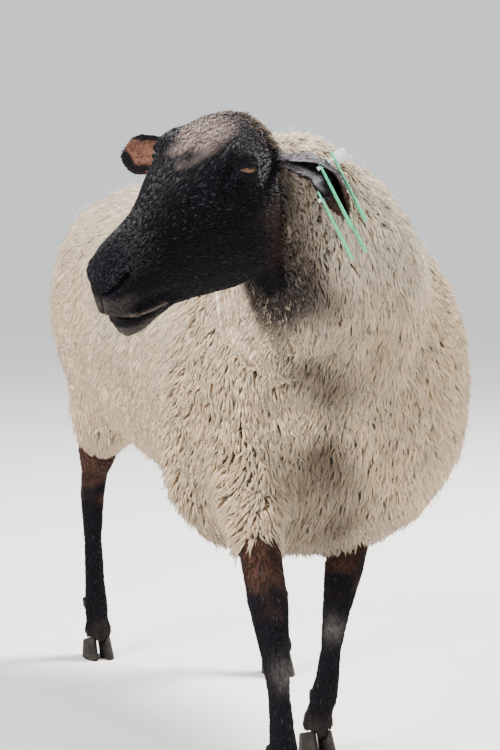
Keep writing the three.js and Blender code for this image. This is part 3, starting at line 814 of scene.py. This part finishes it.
# ---- Coat
class Roots:
    """Places on a skin where tufts grow: points, normals, depth of the coat and places on the unwrap."""

    def __init__(self, points, normals, depth, spots):
        self.points = points
        self.normals = normals
        self.depth = depth
        self.spots = spots

    def and_also(self, other):
        pairs = zip(vars(self).values(), vars(other).values())
        return Roots(*(np.concatenate(pair) for pair in pairs))

    def where(self, keep):
        return Roots(self.points[keep], self.normals[keep], self.depth[keep], self.spots[keep])

    def __len__(self):
        return len(self.points)


def unwrap(corners, faces):
    """Places on an unwrap of a skin, for each corner of each face."""
    thing = object_from("unwrap", corners, faces)
    bpy.context.view_layer.objects.active = thing
    thing.select_set(True)
    bpy.ops.object.mode_set(mode="EDIT")
    bpy.ops.mesh.select_all(action="SELECT")
    bpy.ops.uv.smart_project(angle_limit=math.radians(66), island_margin=0.002)
    bpy.ops.object.mode_set(mode="OBJECT")
    spots = values_of(thing.data.uv_layers.active.uv, "vector", 2, np.float32)
    bpy.data.objects.remove(thing)
    return spots.reshape(len(faces), faces.shape[1], 2)


def scatter(corners, faces, depth, normals, spots, spacing):
    """Roots all over a skin of triangles, one for each square of the spacing, or of each face's own."""
    a, b, c = (corners[faces[:, i]] for i in range(3))
    areas = length(np.cross(b - a, c - a)) / 2
    counts = np.floor(areas / spacing**2 + rng.random(len(faces))).astype(int)
    face = np.repeat(np.arange(len(faces)), counts)
    order = np.arange(len(face)) - np.repeat(np.cumsum(counts) - counts, counts)
    start = rng.random((len(faces), 2))[face]
    x, y = ((start + order[:, None] * [0.7549, 0.5698]) % 1).T
    x, y = np.where(x + y > 1, 1 - x, x), np.where(x + y > 1, 1 - y, y)
    shares = np.stack([1 - x - y, x, y], 1)
    blend = lambda values: (values[faces[face]] * shares[..., None]).sum(1)
    normals = unit(blend(normals))
    spots = (spots[face] * shares[..., None]).sum(1)
    return Roots(blend(corners), normals, blend(depth[:, None])[:, 0], spots)


def outside(roots, corners, faces, gap):
    """Which roots lie outside a closed surface, tested a gap above them."""
    tree = tree_from(corners, faces)
    keep = np.ones(len(roots), bool)
    above = roots.points + roots.normals * gap
    for index, (point, way) in enumerate(zip(above.tolist(), roots.normals.tolist())):
        _, normal, _, _ = tree.ray_cast(point, way)
        keep[index] = normal is None or normal.dot(way) < 0
    return keep


def along_surface(ways, normals):
    """The part of each way that lies in the surface."""
    return unit(ways - normals * (ways * normals).sum(1, keepdims=True))


def tuft_paths(roots, flow, rise, run, wave, shares):
    """Points along each tuft: it stands up from its root, bends over along the flow and waves a little."""
    side = np.cross(roots.normals, flow)
    phase = rng.uniform(0, 2 * math.pi, len(roots))
    turns = rng.uniform(0.8, 1.6, len(roots)) * np.where(rng.random(len(roots)) < 0.5, 1, -1)
    paths = []
    for t in shares:
        angle = 2 * math.pi * turns * t + phase
        up = rise * (1 - (1 - t) ** 2.2) + wave * t * np.sin(angle)
        on = run * t**1.5
        off = wave * t * np.cos(angle)
        spot = roots.points + roots.normals * up[:, None] + flow * on[:, None] + side * off[:, None]
        paths.append(spot)
    return np.stack(paths, 1)


def gathered(roots, paths, lock_share, pull, shares, stretch):
    """Draws neighbouring tufts together towards their tips, into locks. Returns each tuft's leading one."""
    count = len(roots)
    chosen = np.sort(rng.choice(count, max(1, int(count * lock_share)), replace=False))
    tree = KDTree(len(chosen))
    flat = roots.points * stretch
    for index, spot in enumerate(flat[chosen].tolist()):
        tree.insert(spot, index)
    tree.balance()
    nearest = np.array([tree.find(spot)[1] for spot in flat.tolist()])
    leader = chosen[nearest]
    for k, t in enumerate(shares):
        share = pull * t**1.2
        paths[:, k] += (paths[leader, k] - paths[:, k]) * share[:, None]
    return leader


def tuft_piece(name, roots, paths, widths, shares, tints, material):
    """One piece of coat: closed three-sided tufts that taper to a point, with a tint for each step."""
    count, rings = paths.shape[0], paths.shape[1] - 1
    sides = 3
    ahead = unit(np.gradient(paths, axis=1))
    across = unit(np.cross(ahead, roots.normals[:, None]))
    above = np.cross(across, ahead)
    angles = np.arange(sides) * 2 * math.pi / sides + math.pi / 2
    ring = across[:, :rings, None] * np.cos(angles)[:, None] * TUFT_WIDE
    ring = ring + above[:, :rings, None] * np.sin(angles)[:, None] * TUFT_THICK
    corners = paths[:, :rings, None] + ring * widths[:, :rings, None, None]
    corners = np.concatenate([corners.reshape(count, -1, 3), paths[:, rings:]], 1)
    each = rings * sides + 1

    faces = [[2, 1, 0]]
    for j in range(rings - 1):
        for k in range(sides):
            a, b = j * sides + k, j * sides + (k + 1) % sides
            faces += [[a, b, b + sides], [a, b + sides, a + sides]]
    last = (rings - 1) * sides
    faces += [[last + k, last + (k + 1) % sides, each - 1] for k in range(sides)]
    faces = np.array(faces)
    every = (faces[None] + np.arange(count)[:, None, None] * each).reshape(-1, 3)
    piece = object_from(name, corners.reshape(-1, 3), every)

    steps = np.append(np.repeat(shares[:rings], sides), shares[rings])
    ring_of = np.append(np.repeat(np.arange(rings), sides), rings)
    paint(piece, np.stack(tints, 1)[:, ring_of].reshape(-1, 3))

    rows = np.append(np.tile(np.arange(sides), rings), 1)
    draws = rng.random(count)[:, None] * np.ones(each)
    lie = np.stack([np.tile(rows, (count, 1)), np.tile(steps, (count, 1)), draws], 2)
    keep_vectors(piece, "lie", lie)

    rows = np.append(np.tile(np.arange(sides) / (sides - 1), rings), 0.5)
    inside = np.stack([steps, rows], 1) * UV_PATCH
    spots = roots.spots[:, None, None] + inside[faces][None]
    uv = piece.data.uv_layers.new(name="OFBake")
    uv.uv.foreach_set("vector", spots.astype(np.float32).ravel())

    piece.data.materials.append(material)
    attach(piece, "root")
    return piece


def grow(name, roots, paths, widths, shares, tints, material):
    """Pieces of coat in even bands from front to back."""
    order = np.argsort(roots.points[:, 1], kind="stable")
    bands = np.array_split(order, math.ceil(len(roots) / TUFTS_PER_PIECE))
    for number, band in enumerate(bands, 1):
        tuft_piece(
            f"{name}_{number}", roots.where(band), paths[band], widths[band], shares,
            [tint[band] for tint in tints], material,
        )


# ---- Materials
def new_material(name, roughness, **sockets):
    """A material with its Principled node, whose constant values are set on its own sockets."""
    material = bpy.data.materials.new(name)
    material.use_nodes = True
    shader = material.node_tree.nodes["Principled BSDF"]
    shader.inputs["Roughness"].default_value = roughness
    for socket, value in sockets.items():
        shader.inputs[socket.replace("_", " ")].default_value = value
    return material, shader


def feed(node, values):
    """Sets input sockets of a node to numbers, or links them to the output sockets given."""
    for socket, value in values.items():
        if isinstance(value, bpy.types.NodeSocket):
            node.id_data.links.new(value, node.inputs[socket])
        else:
            node.inputs[socket].default_value = value


def add_node(tree, kind, values=None, **settings):
    """A new node. Values are for its input sockets, settings for its own properties."""
    node = tree.nodes.new("ShaderNode" + kind)
    for setting, value in settings.items():
        setattr(node, setting, value)
    feed(node, values or {})
    return node


def attribute(tree, name, output):
    return add_node(tree, "Attribute", attribute_name=name).outputs[output]


def noise_at(tree, source, stretch, scale, detail=2, low=0.0, high=1.0):
    """Noise over a stretched copy of a vector, brought to the range low to high."""
    wide = add_node(tree, "VectorMath", {0: source, 1: stretch}, operation="MULTIPLY")
    noise = add_node(tree, "TexNoise", {"Vector": wide.outputs[0], "Scale": scale, "Detail": detail})
    span = {"From Min": 0.25, "From Max": 0.75, "To Min": low, "To Max": high}
    return add_node(tree, "MapRange", {"Value": noise.outputs["Fac"], **span}).outputs["Result"]


def bump(tree, shader, height, distance, strength):
    bumps = add_node(tree, "Bump", {"Height": height, "Strength": strength, "Distance": distance})
    feed(shader, {"Normal": bumps.outputs["Normal"]})


def scaled_colour(tree, colour, *shares):
    """A colour times each of the shares."""
    for share in shares:
        times = add_node(tree, "VectorMath", {0: colour, "Scale": share}, operation="SCALE")
        colour = times.outputs[0]
    return colour


def coat_material(name, roughness, contrast, glow, **sockets):
    """Wool or hair: the tufts' own colours with fine streaks along them, and some light let through."""
    material, shader = new_material(name, roughness, **sockets)
    tree = material.node_tree
    tint = attribute(tree, "tint", "Color")
    lie = attribute(tree, "lie", "Vector")
    streaks = noise_at(tree, lie, (3.1, 0.8, 97.0), 2.0, 2, 1 - contrast, 1 + contrast)
    colour = scaled_colour(tree, tint, streaks)
    feed(shader, {"Base Color": colour})
    bump(tree, shader, streaks, 0.5 * MM, 0.8)
    through = add_node(tree, "BsdfTranslucent", {"Color": colour})
    mixed = add_node(tree, "MixShader", {0: glow, 1: shader.outputs[0], 2: through.outputs[0]})
    feed(tree.nodes["Material Output"], {"Surface": mixed.outputs[0]})
    return material


def hide_material():
    """The skin under the coat, in its own markings, which carry painted shade: broad wrinkles and the nap
    of short hair.
    """
    material, shader = new_material("hide", 0.8, Specular_IOR_Level=0.03)
    tree = material.node_tree
    tint = attribute(tree, "tint", "Color")
    place = add_node(tree, "TexCoord").outputs["Object"]
    nap = noise_at(tree, place, (1, 1, 0.45), 1500, 2, 0.7, 1.3)
    broad = noise_at(tree, place, (1, 1, 1), 130, 3, 0.8, 1.2)
    feed(shader, {"Base Color": scaled_colour(tree, tint, nap, broad)})
    wrinkles = add_node(tree, "Math", {0: broad, 1: 0.5, 2: nap}, operation="MULTIPLY_ADD")
    bump(tree, shader, wrinkles.outputs[0], 0.35 * MM, 0.7)
    return material


def eye_material():
    material, shader = new_material(
        "eyeball", 0.5, Specular_IOR_Level=0.1, Coat_Weight=0.8, Coat_Roughness=0.03, Coat_IOR=1.36
    )
    tree = material.node_tree
    tint = attribute(tree, "tint", "Color")
    look = attribute(tree, "look", "Vector")
    rays = noise_at(tree, look, (1, 1, 0.1), 5, 3, 0.7, 1.35)
    feed(shader, {"Base Color": scaled_colour(tree, tint, rays)})
    return material


def horn_material():
    """Hooves: dark grey horn with growth rings, fine cracks down the wall and dust."""
    material, shader = new_material("horn", 0.65, Specular_IOR_Level=0.12)
    tree = material.node_tree
    place = add_node(tree, "TexCoord").outputs["Object"]
    rings = noise_at(tree, place, (0.12, 0.12, 1.0), 420)
    cracks = noise_at(tree, place, (1.0, 1.0, 0.08), 700)
    dust = noise_at(tree, place, (1, 1, 1), 90, 4)
    height = add_node(tree, "Math", {0: rings, 1: cracks}, operation="ADD").outputs[0]
    half = add_node(tree, "Math", {0: height, 1: 0.5}, operation="MULTIPLY").outputs[0]
    ramp = add_node(tree, "ValToRGB", {"Fac": half})
    for element, position, colour in zip(ramp.color_ramp.elements, (0.3, 0.75), HORN):
        element.position = position
        element.color = (*colour, 1)
    share = add_node(tree, "MapRange", {"Value": dust, "From Min": 0.45, "From Max": 0.95, "To Max": 0.2})
    layers = {0: share.outputs["Result"], 6: ramp.outputs["Color"], 7: (*HORN_DUST, 1)}
    dusty = add_node(tree, "Mix", layers, data_type="RGBA")
    feed(shader, {"Base Color": dusty.outputs[2]})
    bump(tree, shader, height, 0.5 * MM, 0.6)
    return material


def tag_material(name, colour, worn, roughness, **sockets):
    """Moulded plastic of an ear tag: scuffed, with a fine grain."""
    material, shader = new_material(name, roughness, **sockets)
    tree = material.node_tree
    place = add_node(tree, "TexCoord").outputs["Object"]
    scuffs = noise_at(tree, place, (1, 1, 0.3), 260, 4)
    grain = noise_at(tree, place, (1, 1, 1), 1800, 1)
    blend = add_node(tree, "Mix", {0: scuffs, 6: (*colour, 1), 7: (*worn, 1)}, data_type="RGBA")
    span = {"Value": scuffs, "To Min": roughness - 0.1, "To Max": roughness + 0.15}
    rough = add_node(tree, "MapRange", span)
    feed(shader, {"Base Color": blend.outputs[2], "Roughness": rough.outputs["Result"]})
    bump(tree, shader, grain, 0.08 * MM, 0.4)
    return material


# ---- Eyes
IRIS = 0.60  # radians from the gaze to the rim of the iris
PUPIL = (0.30, 0.105)  # half length and half height of the slot, in radians
CORNEA = 1.1  # mm that it bulges
EYE_SIDES = 96


def eyeball(name, material):
    """A ball with a bulging cornea, amber iris and level slot pupil, made of fine rings about the gaze."""
    middle, radius, gaze, front, up = eye_frame(name)
    edge = IRIS * 1.1
    levels = np.append(np.linspace(0, edge, 40)[1:], np.linspace(edge, math.pi, 26)[1:-1])
    angles = np.arange(EYE_SIDES)[::-1] * 2 * math.pi / EYE_SIDES
    level, angle = (grid.ravel() for grid in np.meshgrid(levels, angles, indexing="ij"))
    level, angle = np.append(level, [0, math.pi]), np.append(angle, [0, 0])
    look = np.stack([np.sin(level) * np.cos(angle), np.sin(level) * np.sin(angle), np.cos(level)], 1)
    reach = radius + CORNEA * (1 - np.clip(level / (IRIS * 1.15), 0, 1) ** 2) ** 2
    corners = from_head(middle + (look @ np.array([front, up, gaze])) * reach[:, None])
    ball = object_from(f"{name}ball", corners, tube_faces(len(levels), EYE_SIDES))

    x, y = level * np.cos(angle), level * np.sin(angle)
    slot = np.maximum(abs(x) - PUPIL[0] + PUPIL[1], 0)
    gap = np.hypot(slot, y) - PUPIL[1]
    # painted shade: the iris colours are dark for the shade under the brow
    colour = mix(np.tile(IRIS_AMBER, (len(level), 1)), IRIS_BROWN, step(level, 0.25, IRIS))
    colour = mix(colour, PUPIL_BLACK, step(gap, 0.02, -0.01))
    colour = mix(colour, SCLERA, step(level, IRIS, IRIS + 0.05))
    colour = mix(colour, IRIS_RIM, np.exp(-(((level - IRIS) / 0.05) ** 2)) * 0.9)
    paint(ball, colour)
    keep_vectors(ball, "look", np.stack([np.cos(angle), np.sin(angle), level], 1) * 3)
    ball.data.materials.append(material)
    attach(ball, "root")
    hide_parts(name)


# ---- Studio
def studio():
    data = bpy.data.cameras.new("camera")
    data.lens = CAMERA_LENS
    data.sensor_width = 36
    camera = bpy.data.objects.new("camera", data)
    camera.location = CAMERA_AT
    camera.rotation_euler = (math.pi / 2 - CAMERA_DIP, 0, -CAMERA_HEADING)
    bpy.context.scene.collection.objects.link(camera)
    bpy.context.scene.camera = camera

    angles = np.linspace(0, 2 * math.pi, 96, endpoint=False)
    corners = np.stack([np.cos(angles), np.sin(angles), np.zeros(96)], 1) * FLOOR_RADIUS
    floor = object_from("floor", corners, np.arange(96)[None])
    material, shader = new_material("floor_paint", 0.85, Base_Color=(0.8, 0.8, 0.8, 1))
    # far off, the floor fades into the light of the studio behind it
    tree = material.node_tree
    place = add_node(tree, "TexCoord").outputs["Object"]
    far = add_node(tree, "VectorMath", {0: place}, operation="LENGTH")
    reach = {"Value": far.outputs["Value"], "From Min": 1.6, "From Max": 7.0}
    fade = add_node(tree, "MapRange", reach, interpolation_type="SMOOTHSTEP")
    light = add_node(tree, "Emission", {"Color": STUDIO_LIGHT, "Strength": 1.0})
    layers = {0: fade.outputs["Result"], 1: shader.outputs[0], 2: light.outputs[0]}
    mixed = add_node(tree, "MixShader", layers)
    feed(tree.nodes["Material Output"], {"Surface": mixed.outputs[0]})
    floor.data.materials.append(material)

    world = bpy.data.worlds.new("studio")
    world.use_nodes = True
    feed(world.node_tree.nodes["Background"], {"Color": STUDIO_LIGHT, "Strength": 1.0})
    bpy.context.scene.world = world

    for name, place, size, power, colour in LIGHTS:
        light = bpy.data.lights.new(name, "AREA")
        light.size = size
        light.energy = power
        light.color = colour
        lamp = bpy.data.objects.new(name, light)
        lamp.location = place
        way = Vector(LIGHTS_AIM) - Vector(place)
        lamp.rotation_euler = way.to_track_quat("-Z", "Y").to_euler()
        bpy.context.scene.collection.objects.link(lamp)


# ---- The sheep
hide = hide_material()
wool = coat_material("wool", 0.9, 0.22, 0.5, Sheen_Weight=0.3, Sheen_Roughness=0.5, Specular_IOR_Level=0.2)
hair = coat_material("hair", 0.45, 0.35, 0.02, Specular_IOR_Level=0.11)

skins = {"body": body_skin(), "legs": leg_skins(), "head": head_skin()}
for name, (corners, faces, depth) in skins.items():
    normals = normals_of(corners, faces)
    if name == "body":
        # wool rises the same way on both sides of a sharp fold
        normals = unit(smoothed(normals, edges_of(faces), 24))
    skins[name] = corners, faces, depth, normals


def roots_on(name, spacing, closer=None):
    """Roots on one of the three skins, outside the other two. `closer` gives shares of the spacing."""
    corners, faces, depth, normals = skins[name]
    if closer:
        spacing = spacing * closer(corners[faces[:, 0]])
    roots = scatter(corners, faces, depth, normals, unwrap(corners, faces), spacing)
    for other in skins:
        if other != name:
            roots = roots.where(outside(roots, *skins[other][:2], CLEAR_OF_SKIN))
    return roots


def fleece():
    """Locks of wool: many thin wavy tufts that hang down and are drawn together at their tips."""
    on_head = roots_on("head", WOOL_SPACING)
    on_head = on_head.where((on_head.depth > WOOL_FROM) & (in_head(on_head.points)[:, 0] < 52))
    roots = roots_on("body", WOOL_SPACING).and_also(on_head)
    flow = along_surface(np.array([0.0, 0.3, -0.95]), roots.normals)
    side = np.cross(roots.normals, flow)
    sway = waves(roots.points, 0.07, 3) * 0.4 + rng.normal(0, 0.3, len(roots))
    flow = unit(flow + side * sway[:, None])
    shares = np.array([0, 0.52, 1])
    size = np.clip(roots.depth / FLEECE_DEPTH, 0.12, 1)
    rise = roots.depth * rng.uniform(0.8, 1.02, len(roots)) * (1 + 0.1 * waves(roots.points, 0.045, 4))
    rise *= 1 - 0.6 * creases((roots.points + flow * WOOL_RUN * 0.5) / MM)
    run = WOOL_RUN * np.maximum(size, 0.3) * rng.uniform(0.6, 1.3, len(roots))
    paths = tuft_paths(roots, flow, rise, run, WOOL_WAVE * np.sqrt(size), shares)
    pull = rng.uniform(0.2, 0.62, len(roots))
    leader = gathered(roots, paths, LOCK_SHARE, pull, shares, np.array([1, 1, 0.55]))
    half = WOOL_HALF_WIDTH * np.sqrt(size) * rng.uniform(0.7, 1.25, len(roots))
    widths = half[:, None] * np.array([0.85, 1, 0])
    root = wool_colours(roots.points)[1]
    middle = wool_colours(paths[:, 1])[0]
    tip = wool_colours(paths[:, 2])[0]
    lock = rng.random(len(roots))[leader]
    shade = ((0.9 + 0.16 * rng.random(len(roots))) * (0.86 + 0.22 * lock))[:, None]
    warm = 1 - np.array([0, 0.08, 0.2]) * (rng.random(len(roots))[leader] * 0.6)[:, None]
    tints = [root * shade, middle * warm * shade, tip * warm * shade]
    grow("fleece", roots, paths, widths, shares, tints, wool)
    strays(roots, flow, tip)


def strays(roots, flow, tip):
    """Fine loose curls that stand out of the fleece and blur its outline."""
    chosen = np.sort(rng.choice(len(roots), STRAYS, replace=False))
    roots, flow, tip = roots.where(chosen), flow[chosen], tip[chosen]
    shares = np.array([0, 0.45, 0.75, 1])
    size = np.clip(roots.depth / FLEECE_DEPTH, 0.1, 1)
    rise = roots.depth + size * rng.uniform(1, 7, len(roots)) * MM
    run = WOOL_RUN * size * rng.uniform(0.2, 0.8, len(roots))
    paths = tuft_paths(roots, flow, rise, run, STRAY_WAVE * size, shares)
    widths = np.tile(STRAY_HALF_WIDTH * np.array([1.2, 1, 0.8, 0]), (len(roots), 1))
    # painted shade: the strays darken towards their roots
    tints = [tip * share for share in (0.6, 0.8, 0.9, 1)]
    grow("stray_wool", roots, paths, widths, shares, tints, wool)


def face_closeness(points):
    """Shares of the spacing: hair stands closer on the muzzle and round the eyes, where it is shortest."""
    places = in_head(points)
    share = 1 - 0.36 * step(places[:, 0], 225, 300)
    return share * (1 - 0.36 * step(eye_gap(places), 32, 20))


def short_hair():
    """Short hair of the face, ears and legs: small flat tufts that follow the lie of the coat."""
    on_head = roots_on("head", FACE_SPACING, face_closeness)
    places = in_head(on_head.points)
    bare = np.zeros(len(places), bool)
    for side in (1, -1):
        for line, reach in ((NOSTRIL, 4.2), (MOUTH, 1.6)):
            bare |= near_line(places, mirrored(line, side))[0] < reach
    for name in EYES:
        middle, radius, gaze, _, _ = eye_frame(name)
        off = places - middle
        bare |= (length(off) < radius + 3.2) & (unit(off) @ gaze > 0.45)
    keep = (on_head.depth < HAIR_UP_TO) & ~bare
    on_head, places = on_head.where(keep), places[keep]
    along, left, up = places.T
    side = abs(left)
    ear = on_ear(on_head.points)
    back = -HEAD_FORWARD + np.array([0, 0, -0.35]) * step(up, 10, -40)[:, None]
    out = np.sign(left)[:, None] * HEAD_LEFT - 0.3 * HEAD_FORWARD - 0.15 * HEAD_UP
    flow = along_surface(mix(back, out, ear), on_head.normals)
    curl = step(along, 62, 48) * step(up, 50, 66)
    forehead = step(((along - 100) / 52) ** 2 + (left / 31) ** 2, 1.3, 0.6) * step(up, 74, 90)
    curly = np.maximum(curl, forehead * 0.4)
    muzzle = step(along, 225, 315)
    small = step(eye_gap(places), 10, 34) * 0.65 + 0.35
    long = FACE_HAIR * (1 - 0.55 * muzzle) * (1 - 0.2 * ear) * small * (1 - 0.15 * curly)
    tip, pale_and_sheen = face_colours(on_head.points, on_head.normals)
    lay_down("face_hair", on_head, flow, long, curly, ear, tip, pale_and_sheen)

    on_legs = roots_on("legs", LEG_SPACING)
    on_legs = on_legs.where(outside(on_legs, *joined(shapes(CLAWS)), CLEAR_OF_CLAW))
    down = along_surface(np.array([0.0, 0.12, -1.0]), on_legs.normals)
    z = on_legs.points[:, 2] / MM
    long = FACE_HAIR * (0.95 + 0.4 * step(z, 250, 320))
    tip, pale_and_sheen = leg_colours(on_legs.points)
    lay_down("leg_hair", on_legs, down, long, 0.25 * step(z, 270, 330), 0, tip, pale_and_sheen)


def lay_down(name, roots, flow, long, curly, ear, tip, pale_and_sheen):
    """Short tufts from their length, curliness, share of ear, colours and share of pale hairs, which are
    partly real grey hairs and partly painted sheen.
    """
    count = len(roots)
    shares = np.array([0, 0.5, 1])
    side = np.cross(roots.normals, flow)
    sway = waves(roots.points, 0.03, 9) * 0.2 + rng.normal(0, 0.12 + 0.5 * curly, count)
    flow = unit(flow + side * sway[:, None])
    long = long * rng.uniform(0.7, 1.25, count)
    rise = (0.42 + 0.25 * rng.random(count) + 4.5 * curly) * MM * (1 - 0.3 * ear)
    paths = tuft_paths(roots, flow, rise, long * (1 - 0.45 * curly), (0.25 + 1.6 * curly) * MM, shares)
    leader = gathered(roots, paths, HAIR_CLUMP_SHARE, np.full(count, 0.35), shares, np.ones(3))
    half = (0.66 + 0.3 * curly) * MM * rng.uniform(0.7, 1.2, count) * np.sqrt(long / FACE_HAIR)
    widths = half[:, None] * np.array([0.9, 1.0, 0])
    # the pale hairs are a few real grey ones and painted sheen on the black hair
    grey = (rng.random(count) < pale_and_sheen) * rng.uniform(0.1, 0.8, count)
    shade = 0.75 + 0.5 * rng.random(count)[leader]
    tip = mix(tip * shade[:, None], GREY_HAIR_AND_SHEEN, grey * 0.17)
    # painted shade: each tuft darkens towards its root
    grow(name, roots, paths, widths, shares, [tip * 0.75, tip * 0.9, tip], hair)


def whole_skin():
    """The one skin of the whole sheep, in the colours of the coat over it, a little darker as painted shade
    under the coat.
    """
    whole = united(skins["body"][:2], [skins["legs"][:2], skins["head"][:2]], "skin")
    points = corners_of(whole.data)
    head_gap, leg_gap = (distances(points, tree_from(*skins[name][:2])) for name in ("head", "legs"))
    _, colour = wool_colours(points)
    along = in_head(points)[:, 0]
    face = face_colours(points, normals_of(points, triangles_of(whole.data)))[0]
    bare = np.maximum(step(along, 38, 52), on_ear(points))
    # painted shade: the skin under the short hair is darker than the hair
    colour = mix(colour, face * 0.8, (head_gap < 0.1 * MM) * bare)
    colour = mix(colour, leg_colours(points)[0] * 0.9, leg_gap < 0.1 * MM)
    paint(whole, colour)
    whole.data.materials.clear()
    whole.data.materials.append(hide)
    flesh = [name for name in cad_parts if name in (*TRUNK, "tail", *HEAD, *EARS)]
    flesh += [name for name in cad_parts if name.split("_")[-1] in LIMB_PIECES]
    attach(whole, "root")
    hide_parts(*flesh)


def claw(name, horn):
    """A claw or dewclaw, rounded, with its sole left flat."""
    corners, faces = remeshed(shapes([name]), CLAW_VOXEL)
    rounded = smoothed(corners, edges_of(faces), 5, keep_size=True)
    sole = corners[:, 2] < SOLE_BAND
    rounded[:, 2] = np.where(sole, 0, np.maximum(rounded[:, 2], 0.3 * MM))
    piece = object_from(f"{name}_horn", rounded, in_triangles(faces))
    piece.data.materials.append(horn)
    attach(piece, "root")
    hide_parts(name)


def finish_claws_and_tags():
    horn = horn_material()
    green = tag_material("tag_green", TAG_GREEN, TAG_GREEN_WORN, 0.38, Transmission_Weight=0.12)
    grey = tag_material("tag_grey", TAG_GREY, TAG_GREY_WORN, 0.42)
    for name in CLAWS:
        claw(name, horn)
    for name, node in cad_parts.items():
        if name.startswith("tag_"):
            node.material_slots[0].material = grey if "stud" in name else green


whole_skin()
ball = eye_material()
for name in EYES:
    eyeball(name, ball)
fleece()
short_hair()
finish_claws_and_tags()
studio()
